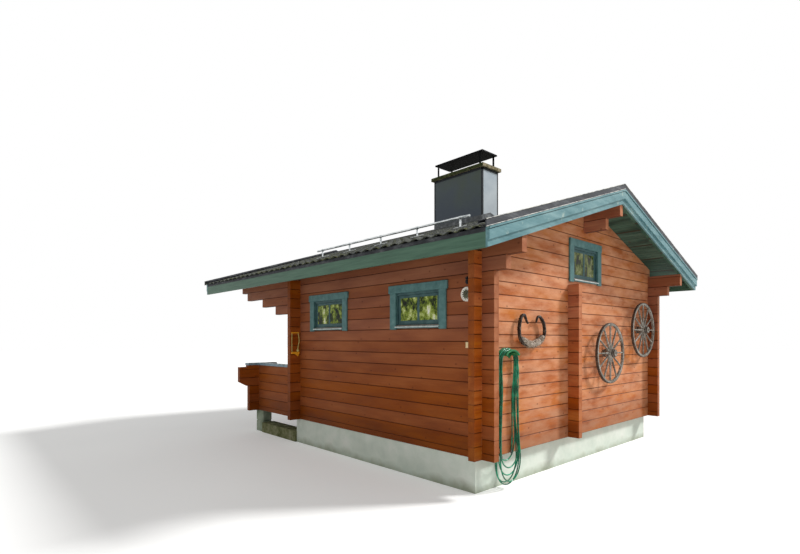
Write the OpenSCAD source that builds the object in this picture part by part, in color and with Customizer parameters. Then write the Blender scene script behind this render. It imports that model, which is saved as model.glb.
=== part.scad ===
// Lakeside boathouse cabin of planed logs, with a roofed porch at one end.
// Millimetres. +X runs along the ridge to the gable, -Y is the front, +Z is up.
// The origin is under the middle of the whole building, at the foot of the plinth.

/* [Logs] */
// Height of one log course
course_h = 170; // [150:1:190]
// Thickness of the planed logs
log_t = 95; // [80:1:130]
// Depth of the V groove between two courses
groove = 8; // [4:1:12]
// How far the front wall's logs run past the gable
front_ends = 181; // [120:1:240]
// How far the gable's logs run past the front wall
gable_ends = 147; // [100:1:240]
// How far the porch-side wall's logs run past the front wall
cross_ends = 214; // [120:1:240]

/* [Plan] */
// Width across the eave walls, outside
width = 5258; // [4720:1:5800]
// Length of the room, outside
room_len = 4269; // [3800:1:4700]
// Length of the porch, from the room to its outer rail
porch_len = 1636; // [1400:1:1700]
// Height of the plinth and of the porch piers
plinth_h = 440; // [300:1:600]
// Thickness of the plinth walls
plinth_t = 200; // [150:1:250]
// Distance of the inner partition from the front wall
part_in = 2089; // [1950:1:2100]
// How far the partition's logs run past the gable
part_ends = 174; // [120:1:240]
// Thickness of the floors
floor_t = 50; // [30:1:70]
// Length of a porch pier along the front
pier_l = 290; // [200:1:300]
// Depth of a porch pier
pier_d = 200; // [150:1:300]
// Height of the footing between pier and plinth
footing_h = 200; // [100:1:240]

/* [Porch beams] */
// Reach of the highest beam past the room
beam_a = 2324; // [2200:1:2450]
// Reach of the second beam
beam_b = 2078; // [1900:1:2190]
// Reach of the third beam
beam_c = 1389; // [1200:1:1800]
// Reach of the lowest beam
beam_d = 842; // [500:1:1100]
// Reach of the second log's step under the gable overhang
step_b = 352; // [260:1:440]
// Reach of the top log under the gable overhang
step_a = 568; // [480:1:574]

/* [Roof] */
// Rise of the roof for each unit of run
slope = 0.3213; // [0.28:0.0001:0.36]
// Eave overhang, to the face of the fascia
eave_out = 681; // [500:1:800]
// Gable overhang, to the end of the roof deck
gable_out = 575; // [575:1:650]
// Roof length past the room at the porch end
porch_out = 2556; // [2460:1:2800]
// Height of the rafters, measured plumb
rafter_h = 170; // [140:1:200]
// Width of one rafter
rafter_w = 45; // [40:1:60]
// Thickness of the roof boards, measured plumb
deck_t = 50; // [30:1:60]
// Thickness of the tile sheet with its battens, measured plumb
sheet_t = 30; // [24:1:40]
// Length of one tile row down the slope
tile_row = 350; // [300:1:400]
// Step at the foot of each tile row
tile_step = 14; // [8:1:18]

/* [Trim] */
// Height of the eave fascia
fascia_h = 165; // [140:1:180]
// Thickness of fascia and barge boards
trim_t = 25; // [18:1:30]
// Height of the outer barge board's foot above the inner one's
barge_step = 75; // [50:1:100]
// Height of the outer barge board
barge_h = 106; // [80:1:112]

/* [Windows] */
// Width of an eave window's opening
win_w = 860; // [700:1:960]
// Height of an eave window's opening
win_h = 472; // [400:1:500]
// Height of the eave windows' middle above the logs' foot
win_z = 1906; // [1860:1:1930]
// Distance of the first eave window from the gable
win_x1 = 1117; // [1000:1:1300]
// Distance of the second eave window from the room's porch end
win_x2 = 999; // [850:1:1200]
// Width of the gable window's opening
gwin_w = 800; // [700:1:900]
// Height of the gable window's opening
gwin_h = 500; // [420:1:540]
// Height of the gable window's middle above the logs' foot
gwin_z = 2655; // [2645:1:2680]
// Width of the window casing boards
casing_w = 118; // [90:1:125]
// Thickness of the window casing boards
casing_t = 25; // [18:1:32]
// Thickness of a window's frame in the wall
sash_t = 60; // [45:1:70]
// Width of the window's bars beside the glass
bar_w = 58; // [45:1:75]
// Width of the post between the two panes
post_w = 46; // [35:1:70]

/* [Porch door] */
// Width of the doorway
door_w = 880; // [750:1:950]
// Height of the doorway
door_h = 2000; // [1900:1:2050]
// Distance of the doorway's middle from the middle of the cabin
door_y = 1070; // [900:1:1150]
// Width of the door frame's jambs
jamb = 45; // [35:1:60]

/* [Chimney] */
// Length of the chimney along the ridge
chimney_l = 1200; // [900:1:1300]
// Depth of the chimney across the ridge
chimney_d = 470; // [400:1:600]
// Height of the chimney's casing above the logs' foot
chimney_z = 4626; // [4300:1:4900]
// Distance of the chimney from the gable
chimney_x = 1842; // [1600:1:2400]
// Thickness of the chimney's slab
slab_t = 60; // [40:1:80]
// Reach of the slab past the casing
slab_out = 45; // [30:1:60]
// Clear height under the rain hat
hat_h = 240; // [180:1:320]
// Width of the corner trims
corner_w = 55; // [40:1:70]
// Height of the trim under the slab
band_h = 110; // [60:1:130]
// Width of the flashing that lies on the roof round the chimney
apron_w = 90; // [60:1:140]

/* [Snow rail] */
// Height of the rail above the roof sheet
rail_up = 120; // [80:1:160]
// Length of the rail
rail_l = 3410; // [2800:1:3700]
// Distance of the rail's end from the gable
rail_x = 190; // [100:1:300]
// Diameter of the rail
rail_d = 32; // [25:1:40]

/* [Hung pieces] */
// Distance of the hose holder's middle from the front wall
hose_y = 470; // [400:1:560]
// Height of the hose holder's saddle above the logs' foot
hose_z = 1330; // [1200:1:1400]
// Radius of the saddle's curve
saddle_r = 200; // [180:1:230]
// Half the width of the saddle
saddle_w = 140; // [120:1:150]
// Depth of the saddle, out from the wall
saddle_d = 133; // [100:1:150]
// Half the width of the hung hose at its foot
hank_w = 270; // [240:1:290]
// Height of the hung hose's lowest loop above the ground
hank_foot = 30; // [10:1:300]
// Distance of the horse collar's middle from the front wall
collar_y = 1000; // [950:1:1200]
// Height of the horse collar's middle above the logs' foot
collar_z = 1620; // [1560:1:1700]
// Half the width of the horse collar
collar_w = 347; // [320:1:370]
// Half the height of the horse collar
collar_h = 267; // [240:1:290]
// Radius of a wagon wheel
wheel_r = 500; // [440:1:505]
// Distance of the first wheel's hub from the back wall
wheel_1_y = 1988; // [1900:1:2000]
// Height of the first wheel's hub above the logs' foot
wheel_1_z = 1243; // [1000:1:1280]
// Distance of the second wheel's hub from the back wall
wheel_2_y = 623; // [600:1:680]
// Height of the second wheel's hub above the logs' foot
wheel_2_z = 1641; // [1600:1:1700]
// Length of a wheel's hub
hub_l = 210; // [160:1:240]
// Diameter of a wheel's hub
hub_d = 160; // [120:1:190]
// Spokes in a wheel
spokes = 12; // [10:2:14]
// Diameter of the thermometer
dial_d = 184; // [150:1:200]

/* [Hidden] */
h = course_h;
t = log_t;
half_w = width/2;
x_gable = (room_len + porch_out - gable_out)/2;
x_room = x_gable - room_len;
x_rail = x_room - porch_len;
x_deck_a = x_room - porch_out;
x_deck_b = x_gable + gable_out;
z0 = plinth_h;
n_front = 15;
n_gable = 15;
n_part = 13;
n_rail = 5;
z_top = z0 + (n_front + 0.5)*h + 10;
cut = 1;
eave_a = half_w + eave_out;
deck_a = eave_a - trim_t;
sheet_a = eave_a + 45;
roof_h = rafter_h + deck_t;

function zf(k) = z0 + (k + 0.5)*h;
function zg(k) = z0 + k*h;
function rafter_z(a) = z_top + slope*(half_w - a);
function deck_z(a) = rafter_z(a) + rafter_h;
function sheet_z(a) = deck_z(a) + deck_t;
function roof_top(a) = sheet_z(a) + sheet_t;

y_plinth = half_w - 10;
x_plinth_a = x_room - 52;
x_plinth_b = x_gable - 110;
x_pier = x_rail - 21;
part_y = -half_w + part_in;
purlin_z = rafter_z(0) - 2*h - 3;
rail_top = zf(n_rail);
return_in = 300;
return_out = 245;
return_top = z0 + 5*h + 50;
block_out = 420;
cap_t = 45;
win_xs = [x_gable - win_x1, x_room + win_x2];
x_chimney_a = x_gable - chimney_x - chimney_l;
z_chimney = z0 + chimney_z;
hank_drop = z0 + hose_z - hank_foot;

// Log wall section across the log: x is the thickness, y the height
module log_section(lo, hi, joints, lo_cut=0, hi_cut=0) {
    n = len(joints);
    up = [for (j = joints) each [[0, j - groove], [groove, j], [0, j + groove]]];
    down = [for (i = [n - 1:-1:0])
            each [[t, joints[i] + groove], [t - groove, joints[i]], [t, joints[i] - groove]]];
    polygon(concat([[lo_cut, lo], [0, lo + lo_cut]], up, [[0, hi - hi_cut], [hi_cut, hi]],
                   [[t - hi_cut, hi], [t, hi - hi_cut]], down, [[t, lo + lo_cut], [t - lo_cut, lo]]));
}

// Carries a section drawn across a wall along X
module along_x(xa, xb) {
    translate([xa, 0, 0]) rotate([90, 0, 90]) linear_extrude(xb - xa) children();
}

// Carries a section drawn across a wall along Y
module along_y(ya, yb) {
    translate([0, yb, 0]) rotate([90, 0, 0]) linear_extrude(yb - ya) children();
}

// Both eave sides: the front as drawn, and the back mirrored
module both_sides() {
    children();
    mirror([0, 1, 0]) children();
}

// One log of the front wall, above the first
module front_log(k, xa, xb) {
    along_x(xa, xb) translate([-half_w, 0]) log_section(zf(k - 1), zf(k), [], groove, groove);
}

// The top log is bevelled to the slope, for the rafters to sit on
module front_top_log(xa, xb) {
    lo = zf(n_front - 1);
    along_x(xa, xb) polygon([[-half_w + groove, lo], [-half_w, lo + groove],
        [-half_w, rafter_z(half_w)], [-half_w + t, rafter_z(half_w - t)],
        [-half_w + t, lo + groove], [-half_w + t - groove, lo]]);
}

// Slices of a crossing that belong to the logs along Y
module cross_slices(xa, ya, xb, yb, n) {
    for (k = [0:n - 1])
        translate([xa, ya, z0 + (k + 0.25)*h]) cube([xb - xa, yb - ya, h/2]);
}

// Slices of a crossing that belong to the logs along X, up to a given height
module long_slices(xa, ya, xb, yb, n, top) {
    translate([xa, ya, z0 - cut]) cube([xb - xa, yb - ya, h/4 + cut]);
    for (k = [0:n - 2])
        translate([xa, ya, z0 + (k + 0.75)*h]) cube([xb - xa, yb - ya, h/2]);
    translate([xa, ya, z0 + (n - 0.25)*h]) cube([xb - xa, yb - ya, top - z0 - (n - 0.25)*h]);
}

// Eave wall with its log ends, its porch beams and its window openings
module eave_wall() {
    n_low = n_front - 4;
    low_joints = [for (k = [0:n_low - 1]) zf(k)];
    difference() {
        union() {
            along_x(x_room - front_ends, x_gable + front_ends) translate([-half_w, 0])
                log_section(z0, zf(n_low), low_joints, 0, groove);
            front_log(n_front - 3, x_room - beam_d, x_gable + front_ends);
            front_log(n_front - 2, x_room - beam_c, x_gable + front_ends);
            front_log(n_front - 1, x_room - beam_b, x_gable + step_b);
            front_top_log(x_room - beam_a, x_gable + step_a);
        }
        cross_slices(x_gable - t, -half_w - cut, x_gable, -half_w + t + cut, n_gable);
        cross_slices(x_room, -half_w - cut, x_room + t, -half_w + t + cut, n_gable);
        for (x = win_xs)
            translate([x - win_w/2, -half_w - cut, z0 + win_z - win_h/2])
                cube([win_w, t + 2*cut, win_h]);
    }
}

// Outline of a gable wall, seen along X
module gable_outline(ends) {
    polygon([[-half_w - ends, z0], [half_w + ends, z0], [half_w + ends, zg(n_gable)],
             [half_w, zg(n_gable)], [half_w, deck_z(half_w)], [0, deck_z(0)],
             [-half_w, deck_z(half_w)], [-half_w, zg(n_gable)], [-half_w - ends, zg(n_gable)]]);
}

// Wall of logs along Y under the roof's slopes, from x to x + t
module gable_logs(x, ends) {
    top = deck_z(0) + h;
    joints = [for (k = [1:floor((top - z0)/h) - 1]) zg(k)];
    difference() {
        intersection() {
            along_y(-half_w - ends, half_w + ends) translate([x, 0]) log_section(z0, top, joints);
            along_x(x - cut, x + t + cut) gable_outline(ends);
        }
        both_sides() long_slices(x - cut, -half_w, x + t + cut, -half_w + t, n_gable, z_top);
        top_log_slots(x);
        purlin_slot(x);
    }
}

// Room for the bevelled tops of the two top logs
module top_log_slots(x) {
    both_sides() along_x(x - cut, x + t + cut)
        polygon([[-half_w, z_top - cut], [-half_w + t, z_top - cut],
                 [-half_w + t, rafter_z(half_w - t)], [-half_w, rafter_z(half_w)]]);
}

// Room for the ridge purlin
module purlin_slot(x) {
    along_x(x - cut, x + t + cut)
        polygon([[-t/2, purlin_z], [t/2, purlin_z], [t/2, rafter_z(t/2)], [0, rafter_z(0)],
                 [-t/2, rafter_z(t/2)]]);
}

// Plinth of rendered concrete
module plinth_front() {
    color("#b9c2b6") translate([x_plinth_a, -y_plinth, 0])
        cube([x_plinth_b - x_plinth_a, plinth_t, z0]);
}
module plinth_back() {
    mirror([0, 1, 0]) plinth_front();
}
module plinth_gable() {
    color("#b9c2b6") translate([x_plinth_b - plinth_t, -y_plinth + plinth_t, 0])
        cube([plinth_t, 2*(y_plinth - plinth_t), z0]);
}
module plinth_porch_side() {
    color("#b9c2b6") translate([x_plinth_a, -y_plinth + plinth_t, 0])
        cube([plinth_t, 2*(y_plinth - plinth_t), z0]);
}

// Porch piers of two concrete blocks, and the footing between pier and plinth
module porch_piers() {
    color("#9a9c90") both_sides() translate([x_pier, -half_w, 0]) cube([pier_l, pier_d, z0]);
}
module porch_footings() {
    color("#7d7c66") both_sides() translate([x_pier + pier_l, -half_w - 20, 0])
        cube([x_plinth_a - x_pier - pier_l, pier_d + 60, footing_h]);
}

module front_wall() {
    color("#8a4a2c") eave_wall();
}
module back_wall() {
    color("#8a4a2c") mirror([0, 1, 0]) eave_wall();
}

module gable_wall() {
    color("#b5602f") difference() {
        gable_logs(x_gable - t, gable_ends);
        translate([x_gable - t - cut, -gwin_w/2, z0 + gwin_z - gwin_h/2])
            cube([t + 2*cut, gwin_w, gwin_h]);
        cross_partition();
    }
}

// Log ends of the inner partition, lapped into the gable wall
module cross_partition() {
    long_slices(x_gable - t - cut, part_y, x_gable + cut, part_y + t, n_part, zf(n_part));
}
module partition_log_ends() {
    joints = [for (k = [0:n_part - 1]) zf(k)];
    color("#a55228") difference() {
        along_x(x_gable - t, x_gable + part_ends) translate([part_y, 0])
            log_section(z0, zf(n_part), joints);
        cross_slices(x_gable - t - cut, part_y - cut, x_gable, part_y + t + cut, n_part);
    }
}

// Wall between room and porch, with its doorway
module porch_side_wall() {
    color("#8a4a2c") difference() {
        gable_logs(x_room, cross_ends);
        translate([x_room - cut, door_y - door_w/2, z0 + floor_t])
            cube([t + 2*cut, door_w, door_h]);
    }
}
module door_frame() {
    color("#2f6d75") difference() {
        translate([x_room, door_y - door_w/2, z0 + floor_t]) cube([t, door_w, door_h]);
        translate([x_room - cut, door_y - door_w/2 + jamb, z0 + floor_t + jamb/2])
            cube([t + 2*cut, door_w - 2*jamb, door_h - 1.5*jamb]);
    }
}
// Leaf of tongued boards, with its lever handle
module door_leaf() {
    leaf_w = door_w - 2*jamb;
    leaf_t = 42;
    board = leaf_w/7;
    z_lever = z0 + floor_t + 1000;
    color("#2f6d75") {
        difference() {
            translate([x_room + 20, door_y - leaf_w/2, z0 + floor_t + jamb/2])
                cube([leaf_t, leaf_w, door_h - 1.5*jamb]);
            for (i = [1:6])
                translate([x_room + 20 - cut, door_y - leaf_w/2 + i*board - groove/2, z0])
                    cube([groove/2 + cut, groove, door_h + 2*floor_t]);
        }
        translate([x_room - 25, door_y + leaf_w/2 - 90, z_lever]) {
            rotate([0, 90, 0]) cylinder(h = 45, d = 18, $fn = 32);
            rotate([90, 0, 0]) cylinder(h = 110, d = 16, $fn = 32);
        }
    }
}

// Sill log across the porch's outer side
module porch_sill_log() {
    color("#8a4a2c") difference() {
        along_y(-half_w - cross_ends, half_w + cross_ends) translate([x_rail, 0])
            log_section(z0, zg(1), [], 0, groove);
        both_sides() rail_laps();
    }
}
// What the parapet's logs take out of the logs along Y at the porch corner
module rail_laps() {
    long_slices(x_rail - cut, -half_w, x_rail + t + cut, -half_w + t, n_rail + 1, rail_top + h);
}
// Short returns, whose two top logs step out past the parapet
module porch_returns() {
    step_z = zg(3);
    color("#8a4a2c") both_sides() difference() {
        union() {
            along_y(-half_w - cross_ends, -half_w + t + return_in) translate([x_rail, 0])
                log_section(zg(1), return_top, [zg(2), zg(3), zg(4)], groove, 0);
            along_x(x_rail, x_rail + t) polygon([[-half_w - cross_ends, step_z],
                [-half_w - cross_ends - 36, step_z], [-half_w - block_out, step_z + 90],
                [-half_w - block_out, return_top], [-half_w - cross_ends, return_top]]);
            along_x(x_rail, x_rail + t) polygon([[-half_w - return_out, return_top],
                [-half_w + t + return_in, return_top], [-half_w + t + return_in, rail_top],
                [-half_w - return_out, rail_top]]);
        }
        rail_laps();
    }
}
module porch_parapets() {
    joints = [for (k = [0:n_rail - 1]) zf(k)];
    color("#8a4a2c") both_sides() difference() {
        along_x(x_rail - 150, x_room - front_ends) translate([-half_w, 0])
            log_section(z0, rail_top, joints);
        cross_slices(x_rail, -half_w - cut, x_rail + t, -half_w + t + cut, n_rail + 1);
    }
}
module parapet_caps() {
    lip = 30;
    color("#7f9fb0") both_sides() {
        translate([x_rail - lip, -half_w - lip, rail_top])
            cube([porch_len + lip - front_ends, t + 2*lip, cap_t]);
        translate([x_rail - lip, -half_w - return_out, rail_top])
            cube([t + 2*lip, return_in + t + return_out, cap_t]);
    }
}

module room_floor() {
    color("#b08a5e") translate([x_room + t, -half_w + t, z0])
        cube([room_len - 2*t, width - 2*t, floor_t]);
}
module porch_floor() {
    color("#8d7a5e") translate([x_rail + t, -half_w + t, z0])
        cube([porch_len - t, width - 2*t, floor_t]);
}

// Ridge purlin of two logs, stepped under the gable overhang
module ridge_purlin() {
    mid = purlin_z + h;
    color("#b5602f") {
        along_x(x_room - beam_b, x_gable + step_b) translate([-t/2, 0])
            log_section(purlin_z, mid, [], groove, groove);
        along_x(x_room - beam_a, x_gable + step_a)
            polygon([[-t/2 + groove, mid], [t/2 - groove, mid], [t/2, mid + groove],
                     [t/2, rafter_z(t/2)], [0, rafter_z(0)], [-t/2, rafter_z(t/2)],
                     [-t/2, mid + groove]]);
    }
}

// One rafter bar, for each side of the ridge
module rafter(x) {
    both_sides() along_x(x, x + rafter_w)
        polygon([[-deck_a, rafter_z(deck_a)], [-2, rafter_z(2)], [-2, deck_z(2)],
                 [-deck_a, deck_z(deck_a)]]);
}
module rafters() {
    color("#c08a55") {
        for (i = [0:4]) rafter(x_room + t + 20 + i*(room_len - 2*t - 40 - rafter_w)/4);
        for (i = [0:2]) rafter(x_deck_a + i*(porch_out - 60 - rafter_w)/2);
        rafter(x_deck_b - rafter_w);
    }
}

module deck_slope() {
    along_x(x_deck_a, x_deck_b)
        polygon([[-deck_a, deck_z(deck_a)], [0, deck_z(0)], [0, sheet_z(0)],
                 [-deck_a, sheet_z(deck_a)]]);
}
module roof_deck_front() {
    color("#2f4f3f") deck_slope();
}
module roof_deck_back() {
    color("#2f4f3f") mirror([0, 1, 0]) deck_slope();
}

// Tile sheet: rows that step down the slope, with the drip flashing at the eave
module sheet_slope() {
    run = tile_row*cos(atan(slope));
    rows = floor(sheet_a/run);
    steps = [for (i = [0:rows - 1]) let (a = sheet_a - i*run)
             each [[-a, roof_top(a)], [-a + run, roof_top(a - run) - tile_step]]];
    drip_a = eave_a + 5;
    lip = rafter_z(eave_a) + fascia_h + 5;
    color("#3c3f42") along_x(x_deck_a - trim_t, x_deck_b + trim_t)
        polygon(concat([[0, sheet_z(0)], [-drip_a, sheet_z(drip_a)], [-drip_a, lip],
                        [-sheet_a, lip]], steps, [[0, roof_top(0)]]));
}
module roof_sheet_front() {
    sheet_slope();
}
module roof_sheet_back() {
    mirror([0, 1, 0]) sheet_slope();
}
module ridge_cap() {
    leg = 150;
    cap = 8;
    color("#3c3f42") difference() {
        along_x(x_deck_a - trim_t, x_deck_b + trim_t)
            polygon([[-leg, roof_top(leg)], [0, roof_top(0)], [leg, roof_top(leg)],
                     [leg, roof_top(leg) + cap], [0, roof_top(0) + cap], [-leg, roof_top(leg) + cap]]);
        translate([x_chimney_a - apron_w, -half_w, z0])
            cube([chimney_l + 2*apron_w, width, 2*chimney_z]);
    }
}

// A band that follows one slope, between two heights above the rafters' underside
module slope_band(xa, xb, eave, lo, hi) {
    along_x(xa, xb) polygon([[-eave, rafter_z(eave) + lo], [-1, rafter_z(1) + lo],
                             [-1, rafter_z(1) + hi], [-eave, rafter_z(eave) + hi]]);
}
// Verge flashing at x; s is 1 at the gable and -1 at the porch end
module verge_at(x, s) {
    lap = 95;
    top = roof_h + sheet_t;
    slope_band(s > 0 ? x - lap : x - trim_t, s > 0 ? x + trim_t : x + lap, sheet_a, top + 9, top + 50);
    slope_band(s > 0 ? x : x - trim_t, s > 0 ? x + trim_t : x, sheet_a, roof_h - 5, top + 10);
}
module verge_flashings() {
    color("#3c3f42") both_sides() {
        verge_at(x_deck_b + trim_t, 1);
        verge_at(x_deck_a - trim_t, -1);
    }
}
module eave_fascias() {
    color("#4c6e60") both_sides()
        translate([x_deck_a, -eave_a, rafter_z(eave_a)])
            cube([x_deck_b - x_deck_a, trim_t, fascia_h]);
}
// Inner board, outer board and top strip; s is 1 at the gable and -1 at the porch end
module barge_at(x, s) {
    strip_t = trim_t + 10;
    inner = s > 0 ? x : x - trim_t;
    outer = s > 0 ? x + trim_t : x - 2*trim_t;
    strip = s > 0 ? x + trim_t : x - trim_t - strip_t;
    slope_band(inner, inner + trim_t, eave_a, 0, roof_h - 6);
    slope_band(outer, outer + trim_t, eave_a, barge_step, barge_step + barge_h);
    slope_band(strip, strip + strip_t, eave_a, roof_h - 30, roof_h - 8);
}
module barge_boards() {
    color("#8fb8b0") both_sides() {
        barge_at(x_deck_b, 1);
        barge_at(x_deck_a, -1);
    }
}

// A band over both slopes, between two heights above the roof sheet
module ridge_band(xa, xb, a, lo, hi) {
    along_x(xa, xb) polygon([[-a, roof_top(a) + lo], [0, roof_top(0) + lo], [a, roof_top(a) + lo],
                             [a, roof_top(a) + hi], [0, roof_top(0) + hi], [-a, roof_top(a) + hi]]);
}

// Block on the chimney's plan, larger by s on each side
module chimney_block(s, za, zb) {
    translate([x_chimney_a - s, -chimney_d/2 - s, za]) cube([chimney_l + 2*s, chimney_d + 2*s, zb - za]);
}

// Chimney clad in sheet, with corner trims and a band under the slab
module chimney_casing() {
    skin = 3;
    trim_z = roof_top(0) + apron_w;
    color("#454b52") difference() {
        union() {
            chimney_block(0, z0 + 3000, z_chimney);
            chimney_block(skin, z_chimney - band_h, z_chimney);
            for (x = [x_chimney_a - skin, x_chimney_a + chimney_l + skin - corner_w],
                 y = [-chimney_d/2 - skin, chimney_d/2 + skin - corner_w])
                translate([x, y, trim_z]) cube([corner_w, corner_w, z_chimney - trim_z]);
        }
        ridge_band(x_chimney_a - cut, x_chimney_a + chimney_l + cut, half_w, -2*chimney_z, 0);
    }
}
// Flashing: an apron on the roof sheet, turned up against the casing
module chimney_flashing() {
    fold = 4;
    xa = x_chimney_a - apron_w;
    xb = x_chimney_a + chimney_l + apron_w;
    color("#565a5c") difference() {
        union() {
            ridge_band(xa, xb, chimney_d/2 + apron_w, 0, fold);
            intersection() {
                chimney_block(fold, z0, z_chimney);
                ridge_band(xa, xb, chimney_d, 0, apron_w - fold);
            }
        }
        chimney_block(0, z0, z_chimney + cut);
    }
}
module chimney_slab() {
    color("#b8b09a") chimney_block(slab_out, z_chimney, z_chimney + slab_t);
}
// Rain hat: a flat plate on four flat legs
module chimney_hat() {
    z_leg = z_chimney + slab_t;
    leg_w = 40;
    leg_t = 6;
    color("#202225") {
        chimney_block(-10, z_leg + hat_h, z_leg + hat_h + trim_t);
        for (x = [60, chimney_l - 60 - leg_w], y = [-chimney_d/2 + 30, chimney_d/2 - 30 - leg_t])
            translate([x_chimney_a + x, y, z_leg]) cube([leg_w, leg_t, hat_h + cut]);
    }
}

// Snow rail over the front wall, on brackets
module snow_rail() {
    z = roof_top(half_w) + rail_up;
    xa = x_gable - rail_x - rail_l;
    foot = 120;
    head = 20;
    plate = 6;
    y = -half_w;
    color("#9aa0a2") {
        translate([xa, -half_w, z]) rotate([0, 90, 0]) cylinder(h = rail_l, d = rail_d, $fn = 32);
        for (i = [0:4]) let (x = xa + 150 + i*(rail_l - 300 - plate)/4) along_x(x, x + plate)
            polygon([[y - foot, roof_top(half_w + foot)], [y + foot, roof_top(half_w - foot)],
                     [y + foot, roof_top(half_w - foot) + plate],
                     [y + head, roof_top(half_w - head) + 3*plate],
                     [y + head, z + head], [y - head, z + head],
                     [y - head, roof_top(half_w + head) + 3*plate],
                     [y - foot, roof_top(half_w + foot) + plate]]);
    }
}

// Window in the frame of its opening: x along the wall, y out of it, z up. The side boards run
// down past the opening, with a thin board and a sloping sill between them
module casing(w, ht, horn) {
    c = casing_w;
    leg = 60;
    apron = 46;
    difference() {
        translate([-w/2 - c, 0, -ht/2 - leg]) cube([w + 2*c, casing_t, ht + leg + c - 15]);
        translate([-w/2, -cut, -ht/2]) cube([w, casing_t + 2*cut, ht]);
        translate([-w/2, casing_t/2, -ht/2 - leg - cut]) cube([w, casing_t, leg + 2*cut]);
        translate([-w/2, -cut, -ht/2 - leg - cut]) cube([w, casing_t + 2*cut, leg - apron + cut]);
    }
    translate([-w/2, 0, 0]) rotate([90, 0, 90]) linear_extrude(w)
        polygon([[0, -ht/2 - 14], [casing_t + 12, -ht/2 - 24], [casing_t + 12, -ht/2 - 16], [0, -ht/2]]);
    translate([-w/2 - c - horn, 0, ht/2]) cube([w + 2*(c + horn), casing_t + 7, c - 15]);
}
// Blocks on the two panes, between two depths in the wall
module pane_blocks(w, ht, ya, yb) {
    glass_w = (w - 2*bar_w - post_w)/2;
    for (s = [-1, 1]) translate([s*(glass_w + post_w)/2 - glass_w/2, ya, -ht/2 + bar_w - 5])
        cube([glass_w, yb - ya, ht - 2*bar_w + 10]);
}
module sash(w, ht) {
    difference() {
        translate([-w/2, -sash_t, -ht/2]) cube([w, sash_t, ht]);
        pane_blocks(w, ht, -sash_t - cut, cut);
    }
}
module pane(w, ht) {
    pane_blocks(w, ht, -sash_t + 18, -sash_t + 38);
}
// Places a window drawn in its own frame on both eave sides
module eave_windows() {
    both_sides() for (x = win_xs) translate([x, -half_w, z0 + win_z]) rotate([0, 0, 180]) children();
}
module gable_window() {
    translate([x_gable, 0, z0 + gwin_z]) rotate([0, 0, -90]) children();
}
module window_casings() {
    color("#2f6d75") {
        eave_windows() casing(win_w, win_h, 26);
        gable_window() casing(gwin_w, gwin_h, 0);
    }
}
module window_sashes() {
    color("#2a5c63") {
        eave_windows() sash(win_w, win_h);
        gable_window() sash(gwin_w, gwin_h);
    }
}
module window_glass() {
    color("#20303a") {
        eave_windows() pane(win_w, win_h);
        gable_window() pane(gwin_w, gwin_h);
    }
}

// Saddle curve in the wall's plane: a ring about the saddle's centre, cut to a width
module saddle_arc(r_in, r_out, half) {
    translate([0, -saddle_r]) intersection() {
        difference() {
            circle(r_out, $fn = 96);
            circle(r_in, $fn = 96);
        }
        translate([-half, 0]) square([2*half, 2*saddle_r]);
    }
}
// Carries an outline in the gable's plane outwards, from xa to xb before the wall
module off_gable(y, z, xa, xb) {
    translate([x_gable + xa, -half_w + y, z0 + z]) rotate([90, 0, 90]) linear_extrude(xb - xa) children();
}

// Hose holder: a curved saddle between its back plate and its front rim
module hose_holder() {
    wall = 8;
    color("#1f7a58") {
        off_gable(hose_y, hose_z, 0, wall) saddle_arc(saddle_r - 70, saddle_r + 45, saddle_w + 10);
        off_gable(hose_y, hose_z, 0, saddle_d) saddle_arc(saddle_r - wall, saddle_r, saddle_w);
        off_gable(hose_y, hose_z, saddle_d - wall, saddle_d)
            saddle_arc(saddle_r - wall, saddle_r + 38, saddle_w + 10);
    }
}
// Points along an arc about (0, z), from angle a0 to a1
function arc_points(z, r, a0, a1, n) =
    [for (i = [0:n]) let (a = a0 + (a1 - a0)*i/n) [r*cos(a), z + r*sin(a)]];

// Garden hose in loops over the saddle: outline of its strands, open in the middle
module garden_hose() {
    free = 0.3;
    lay = 80;
    half = hank_w - 40;
    inner = saddle_w + free;
    foot = -hank_drop + hank_w;
    inner_foot = -hank_drop + 600;
    a_out = acos(half/(saddle_r + lay));
    a_in = acos(inner/(saddle_r + free));
    color("#1f8a68") off_gable(hose_y, hose_z, 9, saddle_d - 9) difference() {
        polygon(concat(arc_points(-saddle_r, saddle_r + lay, a_out, 180 - a_out, 24),
                       arc_points(foot, hank_w, 180, 360, 36)));
        polygon(concat(arc_points(-saddle_r, saddle_r + free, a_in, 180 - a_in, 24),
                       arc_points(inner_foot, inner, 180, 360, 24)));
    }
}

function oval(a, b, n) = [for (i = [0:n - 1]) [a*cos(360*i/n), b*sin(360*i/n)]];

// Horse collar hung on the gable: a thin open hoop of bent wood, with a thick pad at its foot
module collar_oval(side, top, foot) {
    difference() {
        polygon(oval(collar_w, collar_h, 72));
        translate([0, foot - top]) polygon(oval(collar_w - side, collar_h - foot, 72));
    }
}
// The hoop's tip on one side, that turns back inwards and down
module collar_tip(tip, z, run) {
    polygon([[-tip - 12, z], [-tip + 12, z + 18], [-tip + 12 + run, z - 1.2*run],
             [-tip - 12 + run, z - 14 - 1.2*run]]);
}
module horse_collar() {
    tip = 0.6*collar_w;
    side = 34;
    color("#6b5a48") {
        off_gable(collar_y, collar_z, 36, 84) {
            difference() {
                collar_oval(side, 40, 104);
                translate([-tip, 60]) square([2*tip - 40, collar_h]);
            }
            collar_tip(tip, 192, 104);
            mirror([1, 0]) collar_tip(tip - 40, 208, 64);
        }
        off_gable(collar_y, collar_z, 0, 110) difference() {
            collar_oval(side + 4, 36, 108);
            translate([-collar_w, -collar_h/3]) square([2*collar_w, 2*collar_h]);
        }
    }
}

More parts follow.
